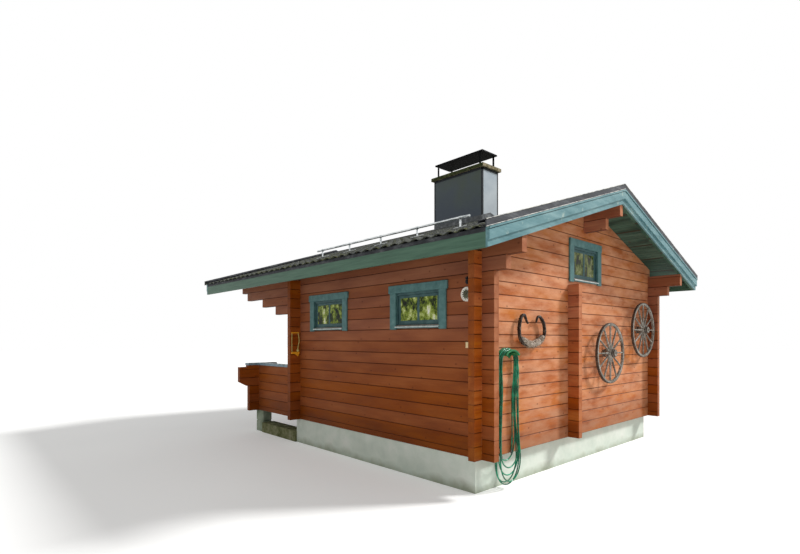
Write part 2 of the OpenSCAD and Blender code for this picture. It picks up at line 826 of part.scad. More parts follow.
// Wagon wheels hung on the gable: turned hub, tapered spokes, felloe and iron tyre
module wagon_wheel(y, z) {
    felloe = 42;
    tyre = 7;
    rim_t = 42;
    rim_x = hub_l/2 - 10;
    translate([x_gable, y, z0 + z]) rotate([0, 90, 0]) {
        cylinder(h = hub_l/3, d1 = 0.75*hub_d, d2 = hub_d, $fn = 48);
        translate([0, 0, hub_l/3]) cylinder(h = hub_l/3, d = hub_d, $fn = 48);
        translate([0, 0, 2*hub_l/3]) cylinder(h = hub_l/3, d1 = hub_d, d2 = 0.65*hub_d, $fn = 48);
        translate([0, 0, rim_x]) rotate_extrude($fn = 96) {
            translate([wheel_r - felloe, 0]) square([felloe - tyre, rim_t]);
            translate([wheel_r - tyre, 2]) square([tyre, rim_t - 4]);
        }
        for (i = [0:spokes - 1]) rotate([0, 0, i*360/spokes]) translate([hub_d/2 - 15, 0, rim_x + rim_t/2])
            rotate([0, 90, 0]) cylinder(h = wheel_r - felloe - hub_d/2 + 20, r1 = 17, r2 = 13, $fn = 24);
    }
}
module wagon_wheels() {
    color("#8d8a80") {
        wagon_wheel(half_w - wheel_1_y, wheel_1_z);
        wagon_wheel(half_w - wheel_2_y, wheel_2_z);
    }
}

// Round thermometer on the front wall
module thermometer() {
    rim = 14;
    color("#e8e8e2") translate([x_gable - 225, -half_w, z0 + 2036]) rotate([90, 0, 0]) difference() {
        cylinder(h = 32, d = dial_d, $fn = 64);
        translate([0, 0, 24]) cylinder(h = 9, d = dial_d - 2*rim, $fn = 64);
    }
}
// Small plate and bracket on the front wall, near the gable
module wall_fittings() {
    color("#c8ccc8") {
        translate([x_gable - 250, -half_w - 12, z0 + 1362]) cube([50, 12, 76]);
        translate([x_gable - 241, -half_w - 30, z0 + 2160]) cube([40, 30, 97]);
    }
}
// Yellow handle on the porch-side log ends: a loop with a bowed grip and a block at its foot
module yellow_handle() {
    bar = 18;
    loop_h = 440;
    loop_w = 150;
    color("#e0a010") translate([x_room + t, -half_w - 195, z0 + 1160]) rotate([90, 0, 90])
        linear_extrude(28) {
            polygon([[0, 60], [bar, 60], [bar, loop_h - bar], [loop_w - bar, loop_h - bar],
                     [loop_w, 300], [loop_w - bar, 60], [loop_w, 60], [loop_w + bar, 300],
                     [loop_w + 6, loop_h], [0, loop_h]]);
            polygon([[0, 40], [70, 20], [110, 0], [loop_w + 5, 30], [loop_w + 5, 85], [0, 85]]);
        }
}

plinth_front();
plinth_back();
plinth_gable();
plinth_porch_side();
porch_footings();
porch_piers();
front_wall();
back_wall();
gable_wall();
porch_side_wall();
partition_log_ends();
porch_sill_log();
porch_parapets();
porch_returns();
parapet_caps();
room_floor();
porch_floor();
ridge_purlin();
rafters();
roof_deck_front();
roof_deck_back();
roof_sheet_front();
roof_sheet_back();
ridge_cap();
verge_flashings();
eave_fascias();
barge_boards();
chimney_casing();
chimney_flashing();
chimney_slab();
chimney_hat();
snow_rail();
window_casings();
window_sashes();
window_glass();
door_frame();
door_leaf();
hose_holder();
garden_hose();
horse_collar();
wagon_wheels();
thermometer();
wall_fittings();
yellow_handle();
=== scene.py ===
"""A lakeside boathouse cabin of planed logs, with a roofed porch at one end.

Metres, in the row frame: +X along the ridge to the gable, -Y the front, +Z up, the ground at 0.
"""
import functools
import math

import bpy
import numpy as np
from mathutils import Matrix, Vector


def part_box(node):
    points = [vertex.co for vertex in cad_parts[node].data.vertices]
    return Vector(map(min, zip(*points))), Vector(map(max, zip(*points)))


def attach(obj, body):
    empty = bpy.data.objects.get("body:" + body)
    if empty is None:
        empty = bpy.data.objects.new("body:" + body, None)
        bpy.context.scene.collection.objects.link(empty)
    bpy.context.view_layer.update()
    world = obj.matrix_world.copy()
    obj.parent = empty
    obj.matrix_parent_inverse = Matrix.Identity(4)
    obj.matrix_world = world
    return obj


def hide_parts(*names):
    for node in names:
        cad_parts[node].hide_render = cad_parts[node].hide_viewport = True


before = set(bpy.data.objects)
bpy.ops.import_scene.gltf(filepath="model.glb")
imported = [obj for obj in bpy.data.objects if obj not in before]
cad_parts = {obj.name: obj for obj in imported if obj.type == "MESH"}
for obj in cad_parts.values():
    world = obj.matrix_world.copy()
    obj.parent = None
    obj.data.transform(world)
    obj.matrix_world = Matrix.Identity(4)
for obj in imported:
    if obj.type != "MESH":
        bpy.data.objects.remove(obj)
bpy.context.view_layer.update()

# Viewpoint: a wide-angle camera near the front corner of the gable, level, with the frame
# shifted up so that upright edges stay upright. It is framed for 800 x 554 points.


def placed(name, data):
    """Puts an object with this data into the scene, at the origin."""
    thing = bpy.data.objects.new(name, data)
    bpy.context.scene.collection.objects.link(thing)
    return thing


camera_data = bpy.data.cameras.new("corner_view")
camera_data.lens = 22.017
camera_data.sensor_width = 36.0
camera_data.shift_y = 0.07756
camera = placed("corner_view", camera_data)
camera.location = (6.8236, -7.4036, 1.9144)
camera.rotation_euler = (math.pi / 2, 0, math.radians(47.268))
bpy.context.scene.camera = camera

# Garden hose: 25 m of 17 mm reinforced vinyl hose, looped seven times over a curved saddle
# on the gable. The loops differ in length, and both ends hang down with a push-on coupling.
hose_d = 0.017
saddle_low, saddle_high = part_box("hose_holder")
saddle_r = 0.2
saddle_y = (saddle_low.y + saddle_high.y) / 2
saddle_top = 1.77
saddle_z = saddle_top - saddle_r
wall_x = saddle_low.x


def surface_colour(code):
    """Linear RGBA of an sRGB hex: c/12.92 below 0.04045, else ((c + 0.055)/1.055) to the power 2.4."""
    c = np.array([int(code[i:i + 2], 16) for i in (1, 3, 5)]) / 255
    return (*np.where(c < 0.04045, c / 12.92, ((c + 0.055) / 1.055) ** 2.4).tolist(), 1.0)


def add_node(tree, kind, *values, out=0, to=None, **given):
    """Adds one node and gives its output, or the node where out is None; to names the shader's
    input that it feeds. A kind in capitals is a Math node's operation, and Mix mixes two colours.
    The values are its first inputs in order, and other words name a setting or an input. A value
    that is an output is linked, and a hex is turned to linear."""
    node = tree.nodes.new("ShaderNode" + ("Math" if kind.isupper() else kind))
    places = range(len(values))
    if kind == "Mix":
        node.data_type, places, out = "RGBA", (0, 6, 7), 2
    if kind.isupper():
        node.operation = kind
    inputs = [(node.inputs[i], value) for i, value in zip(places, values)]
    for word, value in given.items():
        if word == "stops":
            ramp = node.color_ramp.elements
            while len(ramp) < len(value):
                ramp.new(0.5)
            for stop, (place, code) in zip(ramp, value.items()):
                stop.position, stop.color = place, surface_colour(code)
        elif hasattr(node, word):
            setattr(node, word, value)
        else:
            inputs.append((node.inputs[word.replace("_", " ")], value))
    for socket, value in inputs:
        if isinstance(value, bpy.types.NodeSocket):
            tree.links.new(value, socket)
        else:
            socket.default_value = surface_colour(value) if isinstance(value, str) else value
    if to:
        tree.links.new(node.outputs[out], tree.nodes["Principled BSDF"].inputs[to])
    return node if out is None else node.outputs[out]


def start_finish(name, rough, shine, **settings):
    """Starts a material of this roughness and specular level: gives it, what adds its nodes and
    the point on the piece."""
    finish = bpy.data.materials.new(name)
    finish.use_nodes = True
    for word, value in {"Roughness": rough, "Specular_IOR_Level": shine, **settings}.items():
        finish.node_tree.nodes["Principled BSDF"].inputs[word.replace("_", " ")].default_value = value
    add = functools.partial(add_node, finish.node_tree)
    return finish, add, add("TexCoord", out="Object")


def mottled(name, rough, shine, tones, size, detail=2.0, lumps=0.5, relief=None, **settings):
    """A finish with the tones of one noise. size is the noise's scale, or three for one drawn out
    along the axes. relief is its strength and depth as a bump, or those of a finer noise, whose
    scale comes third."""
    finish, add, point = start_finish(name, rough, shine, **settings)
    if isinstance(size, tuple):
        point, size = add("Mapping", point, Scale=size), 1.0
    noise = add("TexNoise", point, Scale=size, Detail=detail, Roughness=lumps)
    add("ValToRGB", noise, stops=tones, to="Base Color")
    if relief:
        if len(relief) > 2:
            noise = add("TexNoise", point, Scale=relief[2])
        add("Bump", Strength=relief[0], Distance=relief[1], Height=noise, to="Normal")
    return finish


def spots(x, y, z):
    """Points from three values or arrays of them."""
    return np.stack(np.broadcast_arrays(x, y, z), -1)


def joined(parts):
    """One list of points and one of faces from several, the face numbers moved on."""
    points = np.concatenate([np.reshape(p, (-1, 3)) for p, _ in parts])
    starts = np.cumsum([0] + [np.size(p) // 3 for p, _ in parts[:-1]]).tolist()
    return points, [[v + s for v in f] for s, (_, fs) in zip(starts, parts) for f in fs]


def make_piece(name, parts, finish, replaces=(), soften=None):
    """Puts one part or a list of them, each points and faces, into a mesh at the origin, that rides
    on the building. soften is the angle in degrees over which an edge stays sharp."""
    points, faces = joined(parts if isinstance(parts, list) else [parts])
    mesh = bpy.data.meshes.new(name)
    mesh.from_pydata(points.tolist(), [], faces)
    mesh.materials.append(finish)
    if soften is not None:
        mesh.polygons.foreach_set("use_smooth", [True] * len(mesh.polygons))
        mesh.set_sharp_from_angle(angle=math.radians(soften))
    mesh.update()
    piece = placed(name, mesh)
    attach(piece, "root")
    if replaces:
        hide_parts(*replaces)
    return piece


def smooth_line(knots, step):
    """Natural cubic spline through the knots over their chord length, sampled every step metres:
    the second slopes m solve h0*m0 + 2*(h0 + h1)*m1 + h1*m2 = 6*(d1 - d0)."""
    s = np.concatenate([[0], np.cumsum(np.linalg.norm(np.diff(knots, axis=0), axis=1))])
    h = np.diff(s)
    d = np.diff(knots, axis=0) / h[:, None]
    n = len(knots)
    a = np.eye(n)
    b = np.zeros((n, 3))
    inner = np.arange(1, n - 1)
    a[inner, inner - 1], a[inner, inner], a[inner, inner + 1] = h[:-1], 2 * (h[:-1] + h[1:]), h[1:]
    b[1:-1] = 6 * np.diff(d, axis=0)
    m = np.linalg.solve(a, b)
    t = np.linspace(0, s[-1], int(s[-1] / step) + 1)
    i = np.clip(np.searchsorted(s, t, side="right") - 1, 0, n - 2)
    u, v = (t - s[i])[:, None], (s[i + 1] - t)[:, None]
    g = h[i][:, None]
    return (m[i] * v**3 + m[i + 1] * u**3) / (6 * g) + (knots[i] / g - m[i] * g / 6) * v \
        + (knots[i + 1] / g - m[i + 1] * g / 6) * u


def kept_apart(line, gap, rounds):
    """Pushes strands that are nearer than gap, and not neighbours along the line, away from each
    other by half of what is missing, then evens the line: each point moves 0.2 of the way to the
    middle of its two neighbours. The saddle's arc, carried on past its ends, holds the top, and
    four last rounds of evening spread the bends that it leaves."""
    line = line.copy()
    place = np.arange(len(line))
    near = np.abs(place[:, None] - place[None]) < 8
    rest_r = saddle_r + hose_d / 2 + 0.001
    for _ in range(rounds):
        away = line[:, None] - line[None]
        far = np.sqrt((away**2).sum(-1)) + 1e-9
        lack = np.where(near, 0, np.maximum(gap - far, 0))
        line += 0.5 * (away / far[..., None] * lack[..., None]).sum(1)
        line[1:-1] += 0.2 * ((line[:-2] + line[2:]) / 2 - line[1:-1])
        aside, rise = line[:, 1] - saddle_y, line[:, 2] - saddle_top + saddle_r
        over = np.hypot(aside, rise)
        held = (over < rest_r) & (line[:, 2] > saddle_top - 0.1)
        out = np.maximum(rest_r - over, 0) * held
        line[:, 1] += out * aside / over
        line[:, 2] += out * rise / over
        line[:, 0] = np.clip(line[:, 0], wall_x + 0.012, wall_x + 0.123)
        held = (line[:, 2] > saddle_top - 0.12)
        line[held, 0] = np.clip(line[held, 0], wall_x + 0.018, wall_x + 0.115)
    for _ in range(4):
        line[1:-1] += 0.25 * ((line[:-2] + line[2:]) / 2 - line[1:-1])
    return line


# Each pass over the saddle: depth before the wall, layer on the saddle, height of the loop's
# foot, half widths at the foot and at mid height, and how far the foot hangs to one side. The
# last pass has no loop: its end hangs.
passes = [(0.024, 0, 0.062, 0.235, 0.19, -0.01), (0.044, 0, 0.145, 0.225, 0.168, 0.025),
    (0.064, 0, 0.047, 0.25, 0.182, -0.03), (0.034, 1, 0.33, 0.195, 0.14, -0.015),
    (0.054, 1, 0.235, 0.205, 0.152, 0.03), (0.084, 0, 0.075, 0.225, 0.18, 0.015),
    (0.044, 2, 0.42, 0.18, 0.145, 0.01)]
shoulder_z, waist_z = 1.42, 1.0
knots = [(0.022, 0.12, 0.46), (0.022, 0.135, 0.9), (0.022, 0.165, shoulder_z)]
for depth, layer, foot, wide, mid, aside in passes:
    lift = saddle_r + (0.6 + layer) * hose_d
    turns = np.radians((52, 26, 0, -26, -52))
    shoulder, hip = 0.174 + 0.008 * layer, (mid + wide) / 2
    run = [(lift * math.sin(a), saddle_z + lift * math.cos(a)) for a in turns]
    run += [(-shoulder, shoulder_z), (-mid, waist_z)]
    if foot == passes[-1][2]:
        knots += [(depth, *spot) for spot in run] + [(depth + 0.01, -0.15, foot)]
        break
    run += [(-hip, foot + 0.5), (aside - wide, foot + 0.22), (aside - 0.62 * wide, foot + 0.05),
        (aside, foot), (aside + 0.62 * wide, foot + 0.05), (aside + wide, foot + 0.22),
        (hip, foot + 0.5), (mid, waist_z), (shoulder, shoulder_z)]
    knots += [(depth, *spot) for spot in run]
hose_line = kept_apart(smooth_line(np.array(knots) + (wall_x, saddle_y, 0), 0.028), 1.02 * hose_d, 90)

curve = bpy.data.curves.new("garden_hose", "CURVE")
curve.dimensions = "3D"
curve.bevel_depth = hose_d / 2
curve.bevel_resolution = 2
curve.use_fill_caps = True
strand = curve.splines.new("POLY")
strand.points.add(len(hose_line) - 1)
strand.points.foreach_set("co", np.c_[hose_line, np.ones(len(hose_line))].ravel())
strand.use_smooth = True
hose = placed("garden_hose_loops", curve)

# Soft vinyl, extruded: a deep even green, a broad soft shine, paler where it has rubbed
hose_finish = mottled("hose_vinyl", 0.24, 0.55, {0.34: "#055441", 0.52: "#057a56", 0.68: "#22ab80"},
    9.0, 3.0)
curve.materials.append(hose_finish)
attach(hose, "root")
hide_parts("garden_hose")


def ring_faces(rings, sides, hoop=False):
    """Quads between rings of points, one ring to the next. A hoop's last ring meets its first, and
    others get a face at each end."""
    i = np.arange(rings if hoop else rings - 1)[:, None]
    j = np.arange(sides)[None]
    a, b = i * sides, (i + 1) % rings * sides
    k = (j + 1) % sides
    faces = np.stack([a + j, a + k, b + k, b + j], -1).reshape(-1, 4).tolist()
    if not hoop:
        faces += [list(range(sides))[::-1], list(range((rings - 1) * sides, rings * sides))]
    return faces


def turned(profile, sides, origin, axis=(1, 0, 0), hoop=False):
    """Points and faces of a profile (distance along the axis, radius) turned about the axis:
    p = origin + d*axis + r*(cos(a)*u + sin(a)*v). A hoop's profile is closed."""
    axis = np.array(axis, float) / np.linalg.norm(axis)
    u = np.cross(axis, (0, 0, 1) if abs(axis[2]) < 0.9 else (1, 0, 0))
    u /= np.linalg.norm(u)
    a = np.arange(sides) * 2 * np.pi / sides
    d, r = np.array(profile).T
    ring = np.cos(a)[:, None] * u + np.sin(a)[:, None] * np.cross(axis, u)
    points = np.array(origin) + d[:, None, None] * axis + r[:, None, None] * ring
    return points.reshape(-1, 3), ring_faces(len(d), sides, hoop)


# Push-on couplings: moulded grey plastic with a ribbed collar
coupling_finish = mottled("coupling_plastic", 0.42, 0.5, {0.35: "#4a4f4e", 0.7: "#6d7371"}, 60.0)
coupling = [(-0.022, 0.0088), (-0.02, 0.0118), (-0.004, 0.0125), (-0.003, 0.011), (0.001, 0.011),
    (0.002, 0.0125), (0.006, 0.0125), (0.007, 0.0112), (0.018, 0.0105), (0.026, 0.0095), (0.028, 0.007)]
for word, end, inner in (("inner", 0, 2), ("outer", -1, -3)):
    fitting = turned(coupling, 20, hose_line[end], hose_line[end] - hose_line[inner])
    make_piece("hose_coupling_" + word, fitting, coupling_finish,
        soften=40)


def dress(finish, *names):
    """Gives CAD nodes whose shape stays their finish, in every slot."""
    for name in names:
        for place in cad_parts[name].material_slots:
            place.material = finish


# Hose holder: a moulded polypropylene saddle with its back plate, two webs and a low front rim,
# screwed to the logs. It is leaf green, paler in patches.
holder_finish = mottled("holder_polypropylene", 0.45, 0.3, {0.3: "#16643c", 0.6: "#2a8450",
    0.8: "#62a868"}, 14.0, 4.0, relief=(0.1, 0.001, 900.0))


def swept(path, outline, up=(0, 0, 1), across=(1, 0, 0)):
    """Carries an outline along a path: p = path + outline_x*across + outline_y*up. The outline may
    change along the path, and runs anticlockwise about across x up, the path's direction."""
    path, outline = np.array(path, float), np.array(outline, float)
    across, up = np.broadcast_to(across, path.shape), np.broadcast_to(up, path.shape)
    if outline.ndim == 2:
        outline = np.broadcast_to(outline, (len(path), *outline.shape))
    points = path[:, None] + outline[..., :1] * across[:, None] + outline[..., 1:] * up[:, None]
    return points.reshape(-1, 3), ring_faces(len(path), outline.shape[1])


def square_to(line):
    """Directions square to a line that runs along the gable: (0, z, -y) of its run."""
    run = np.gradient(line, axis=0)
    run /= np.linalg.norm(run, axis=1)[:, None]
    return spots(0, run[:, 2], -run[:, 1])


def rounded(wide, high, corner, steps=2):
    """Outline of a rectangle with rounded corners, anticlockwise from its right side."""
    a = np.arange(4 * (steps + 1)) // (steps + 1)
    turn = np.pi / 2 * (a + np.tile(np.arange(steps + 1), 4) / steps)
    x = np.array([1, -1, -1, 1])[a] * (wide / 2 - corner) + corner * np.cos(turn)
    y = np.array([1, 1, -1, -1])[a] * (high / 2 - corner) + corner * np.sin(turn)
    return np.c_[x, y]


arc_middle = np.array([wall_x, saddle_y, saddle_z])


def arc_band(near, far, x0, x1, corner):
    """A band over the saddle's arc, from radius near to far and from x0 to x1 off the wall:
    p = (x, middle_y + r*sin(a), middle_z + r*cos(a)) for a from 46 to -46 degrees."""
    a = np.radians(np.linspace(46, -46, 36))
    out = spots(0, np.sin(a), np.cos(a))
    path = arc_middle + ((x0 + x1) / 2, 0, 0) + (near + far) / 2 * out
    return swept(path, rounded(x1 - x0, far - near, corner), out)


depth = saddle_high.x - wall_x
holder = [arc_band(0.13, 0.232, 0, 0.008, 0.003), arc_band(0.192, 0.2, 0.004, depth - 0.002, 0.003),
    arc_band(0.188, 0.214, depth - 0.01, depth, 0.004)]
for a in np.radians((-20, 20)):
    out, side = np.array([0, np.sin(a), np.cos(a)]), np.array([0, np.cos(a), -np.sin(a)])
    foot = arc_middle + (0.005, 0, 0) + 0.194 * out
    web = [[(-0.0025, -0.05), (0.0025, -0.05), (0.0025, 0), (-0.0025, 0)],
        [(-0.0025, -0.01), (0.0025, -0.01), (0.0025, 0), (-0.0025, 0)]]
    holder.append(swept([foot, foot + (depth - 0.01, 0, 0)], web, out, side))
    at = arc_middle + (0.007, 0, 0) + 0.155 * out
    holder.append(turned([(0, 0.006), (0.003, 0.006), (0.0045, 0.003)], 12, at))
make_piece("hose_saddle", holder, holder_finish, ["hose_holder"], soften=40)

# Log walls: pine logs planed to 95 mm, laid in 170 mm courses with V joints, half-lapped at the
# corners and brushed with a red-brown stain. The stain has gone pale and patchy in the sun.
course = 0.17
joint_foot = 0.44


def log_finish(name, along, first_joint, tones, bleach, seed, grain=0.35):
    """Stained pine. Grain is noise drawn out 1:30 along the log. Each course gets a tone from the
    whole part of (z - first_joint)/course, joints darken by distance to the nearest one, and where
    the surface faces along the log it shows end grain, as rings about the log's middle. tones are
    the stain's dark, middle and pale hex, and bleach and grain say how strongly those show. On the
    long walls the stain is painted duller towards the top, a painted sky reflection. Faces turned
    to the gable's side are paler, partly bleached and partly painted sunlight. The gable's end grain
    is darker, partly from more stain taken in and partly as painted shade under the eaves."""
    finish, add, point = start_finish(name, 0.6, 0.15)
    long_first = (0, 0, math.pi / 2) if along == "Y" else (0, 0, 0)
    turned_point = add("Mapping", point, Rotation=long_first, Location=(seed, 0, 0))
    axes = add("SeparateXYZ", point, out=None).outputs
    z = axes["Z"]
    layer = add("DIVIDE", add("SUBTRACT", z, first_joint), course)
    number = add("FLOOR", layer)
    part = add("FRACT", layer)
    # Streaks of early and late wood, about 4 mm wide on a planed face
    streak = add("TexNoise", add("Mapping", turned_point, Scale=(1.7, 50.0, 50.0)), Scale=1.0,
        Detail=5.0, Roughness=0.6)
    wander = add("TexNoise", add("Mapping", turned_point, Scale=(1.1, 5.0, 5.0)), Scale=1.0, Detail=4.0)
    tint = add("MULTIPLY_ADD", add("SUBTRACT", streak, 0.5), grain, wander)
    wood = add("ValToRGB", tint, stops=dict(zip((0.32, 0.5, 0.68), tones)))
    # Tone of each log. On the long walls the stain is also painted duller towards the top: a painted
    # sky reflection
    tone = add("TexWhiteNoise", noise_dimensions="1D", W=add("ADD", number, seed))
    rich = add("ADD", add("MapRange", tone, 0.0, 1.0, 0.94, 1.05),
        add("MapRange", z, 0.5, 2.9, 0.08, -0.12 if along == "X" else 0.06))
    wood = add("HueSaturation", Color=wood, Saturation=rich, Value=add("MapRange", tone, 0.0, 1.0, 1.07,
        0.93))
    # Bleached and rubbed patches, 0.2 to 0.6 m across, strongest on what faces the gable's side,
    # and next toward the lake. On faces turned towards the light they are partly painted sunlight
    facing = add("SeparateXYZ", add("TexCoord", out="Normal"), out=None).outputs
    lakeward = add("MapRange", axes["X"], 1.5, -2.5, 0.04, 0.3)
    bleach_and_painted_sun = add("MapRange", facing["X"], 0.3, 0.9, lakeward)
    # The log ends that run out past the long walls keep their stain and lie in shade: no painted
    # sunlight
    bleach_and_painted_sun = add("MULTIPLY", bleach_and_painted_sun, add("MapRange", add("ABSOLUTE", axes["Y"]), 2.62, 2.64, 1.0, 0.1))
    patch = add("TexNoise", add("Mapping", turned_point, Scale=(2.2, 7.0, 7.0)), Scale=1.0, Detail=5.0,
        Roughness=0.62)
    faded = add("MULTIPLY", bleach_and_painted_sun, add("MapRange", patch, 0.36, 0.66, 0.2 * bleach, bleach))
    wood = add("Mix", faded, wood, "#e5a982")
    # Knots, 20 to 35 mm across and some 0.6 m apart along a log, that show through the stain
    flat = add("SeparateXYZ", turned_point, out=None).outputs
    cell = add("CombineXYZ", X=add("MULTIPLY", flat["X"], 1.9), Y=add("MULTIPLY", z, 2.9))
    knot = add("TexVoronoi", cell, voronoi_dimensions="2D", Scale=1.0, Randomness=1.0)
    knot = add("MapRange", add("MULTIPLY_ADD", streak, 0.03, knot), 0.06, 0.035, 0.0, 0.5)
    wood = add("Mix", knot, wood, "#4f2310")
    # Shade and dirt in the V joints, and splashes near the ground
    beside = add("PINGPONG", part, 0.5)
    seam = add("MapRange", beside, 0.055, 0.02, 0.0, 0.7)
    low = add("MapRange", add("MULTIPLY_ADD", patch, -0.9, z), 0.55, -0.05, 0.0, 0.4)
    dirt = add("MAXIMUM", seam, low)
    wood = add("Mix", dirt, wood, "#3b1a0b")
    # End grain: rings 3 mm apart about the log's middle. On the gable's logs it is darker: partly
    # more stain taken in, partly painted shade under the eaves
    end = add("MapRange", add("ABSOLUTE", facing[along]), 0.6, 0.8, 0.0, 0.5)
    across = axes["X" if along == "Y" else "Y"]
    ring = add("TexWave", add("CombineXYZ", X=add("PINGPONG", across, course),
        Y=add("MULTIPLY_ADD", part, course, -0.4 * course)), wave_type="RINGS",
        rings_direction="SPHERICAL", Scale=38.0, Distortion=2.0, Detail=2.0)
    rings = add("HueSaturation", Value=0.5 if along == "Y" else 1.0,
        Color=add("ValToRGB", ring, stops=dict(zip((0.0, 0.6, 1.0), tones))))
    add("Mix", end, wood, rings, to="Base Color")
    add("MapRange", streak, 0.0, 1.0, 0.45, 0.68, to="Roughness")
    height = add("ADD", streak, add("MULTIPLY", knot, -0.6))
    add("Bump", Strength=0.3, Distance=0.003, Height=height, to="Normal")
    return finish


# Long walls and porch take darker tones, gable and partition paler, more orange ones: painted shade and
# painted sunlight
painted_shade_tones = ("#89451f", "#985024", "#a45b2d")
painted_sun_tones = ("#95481c", "#b05c2b", "#c4763f")
long_log = log_finish("stained_pine_front", "X", joint_foot + course / 2, painted_shade_tones, 0.55, 3.0)
back_log = log_finish("stained_pine_back", "X", joint_foot + course / 2, painted_shade_tones, 0.55, 11.0)
end_log = log_finish("stained_pine_gable", "Y", joint_foot, painted_sun_tones, 0.75, 7.0)
porch_log = log_finish("stained_pine_porch", "Y", joint_foot, painted_shade_tones, 0.2, 17.0)
part_log = log_finish("stained_pine_partition", "X", joint_foot + course / 2, painted_sun_tones, 0.65, 23.0)
dress(long_log, "front_wall", "porch_parapets")
dress(back_log, "back_wall")
dress(end_log, "gable_wall")
dress(porch_log, "porch_side_wall", "porch_sill_log", "porch_returns")
dress(part_log, "partition_log_ends", "ridge_purlin")

# Plinth: concrete with a thin trowelled render, painted off-white. It is splashed green and
# grey near the ground and keeps the marks of its sand.
render_finish, add, point = start_finish("painted_render", 0.85, 0.25)
cloud = add("TexNoise", point, Scale=2.6, Detail=6.0, Roughness=0.6)
colour = add("ValToRGB", cloud, stops={0.3: "#cfdacd", 0.55: "#e0e8dc", 0.75: "#eff2e9"})
splash = add("MapRange", add("MULTIPLY_ADD", cloud, -0.35, add("SeparateXYZ", point, out="Z")), -0.06,
    -0.2, 0.0, 0.7)
add("Mix", splash, colour, "#7c8564", to="Base Color")
sand = add("TexNoise", point, Scale=160.0, Detail=3.0)
trowel = add("TexNoise", point, Scale=9.0, Detail=2.0)
add("Bump", Strength=0.5, Distance=0.004, Height=add("MULTIPLY_ADD", sand, 0.3, trowel), to="Normal")
dress(render_finish, "plinth_front", "plinth_back", "plinth_gable", "plinth_porch_side")


def boards(lows, highs, edge):
    """Blocks with chamfered edges, all at once. Each corner has three points: the one for axis j
    lies on the face across j, and edge inside the block along the other two. Six faces, twelve
    chamfers and eight corner triangles join them."""
    lows, highs = np.reshape(lows, (-1, 3)), np.reshape(highs, (-1, 3))
    sign = np.array([(i, j, k) for i in (-1, 1) for j in (-1, 1) for k in (-1, 1)], float)
    half = (highs - lows)[:, None, None] / 2
    inset = np.minimum(edge, 0.45 * half) * (1 - np.eye(3))
    points = ((highs + lows) / 2)[:, None, None] + sign[:, None] * (half - inset)

    def number(j, *signs):
        """First point of the corner with these signs along axis j and the two that follow."""
        return 3 * int(np.dot(np.roll(signs, j) > 0, (4, 2, 1)))

    unit = (sign[:, None] * (1 - 0.2 * (1 - np.eye(3)))).reshape(-1, 3)
    faces = [[3 * i, 3 * i + 1, 3 * i + 2] for i in range(8)]
    for j in range(3):
        k, m = (j + 1) % 3, (j + 2) % 3
        for s in (-1, 1):
            faces.append([number(j, s, a, b) + j for a, b in ((-1, -1), (1, -1), (1, 1), (-1, 1))])
            for a in (-1, 1):
                low, high = number(j, -1, s, a), number(j, 1, s, a)
                faces.append([low + k, high + k, high + m, low + m])
    for f in faces:
        a, b, c = unit[f[:3]]
        if np.dot(np.cross(b - a, c - a), unit[f].mean(0)) < 0:
            f.reverse()
    return points.reshape(-1, 3), [[v + 24 * i for v in f] for i in range(len(lows)) for f in faces]


# Porch piers: two dense concrete blocks each, bedded on mortar, with worn edges. The low
# footings between pier and plinth are cast concrete, rough from their shuttering and mossy.
block_finish, add, point = start_finish("dense_concrete_block", 0.9, 0.2)
grit = add("TexNoise", point, Scale=120.0, Detail=4.0)
stain = add("TexNoise", point, Scale=5.0, Detail=5.0)
colour = add("ValToRGB", stain, stops={0.3: "#6e7964", 0.5: "#95a28c", 0.7: "#adb7a4"})
add("HueSaturation", Color=colour, Value=add("MapRange", grit, 0.0, 1.0, 0.75, 1.25), to="Base Color")
add("Bump", Strength=0.6, Distance=0.004, Height=grit, to="Normal")
dress(block_finish, "porch_piers")
pier_low, pier_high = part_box("porch_piers")
pier_length, pier_depth, pier_top = pier_high.x - pier_low.x, 0.2, pier_high.z
half_width = 2.629
sides = (-half_width, half_width - pier_depth)
rows = [(pier_low.x, y, z) for y in sides for z in (0.0, pier_top / 2 + 0.004)]
tops = [(x + pier_length, y + pier_depth, z + pier_top / 2 - 0.006) for x, y, z in rows]
bed = [(pier_low.x + 0.01, y + 0.01, pier_top / 2 - 0.01) for y in sides]
bed_tops = [(x + pier_length - 0.02, y + pier_depth - 0.02, z + 0.02) for x, y, z in bed]
make_piece("porch_pier_blocks", boards(rows + bed, tops + bed_tops, 0.012), block_finish,
    ["porch_piers"])
footing_finish = mottled("mossy_cast_footing", 0.95, 0.1, {0.35: "#565a38", 0.5: "#7b7d5a",
    0.68: "#9c9b80"}, 7.0, 7.0, lumps=0.65, relief=(0.7, 0.008))
dress(footing_finish, "porch_footings")

# Floors: tongued pine boards, 120 mm wide, planed in the room. On the porch they are weathered,
# and laid with small gaps.
board_w = 0.12
room_boards = log_finish("planed_pine_boards", "X", 0.0, ("#a9743f", "#c8945a", "#dcb27c"), 0.2, 31.0,
    1.0)
porch_floor_boards = log_finish("weathered_pine_boards", "X", 0.0, ("#5c5140", "#85775f", "#a09580"),
    0.0, 37.0, 1.0)


def floor_of(node, name, finish, gap, edge):
    """Boards along X, side by side over the node's box, gap apart."""
    low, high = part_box(node)
    count = round((high.y - low.y) / board_w)
    y = np.linspace(low.y, high.y, count + 1)
    lows = spots(low.x, y[:-1] + gap / 2, low.z)
    highs = spots(high.x, y[1:] - gap / 2, high.z)
    return make_piece(name, boards(lows, highs, edge), finish, [node])


floor_of("room_floor", "room_floor_boards", room_boards, 0.0006, 0.0015)
floor_of("porch_floor", "porch_floor_boards", porch_floor_boards, 0.005, 0.004)

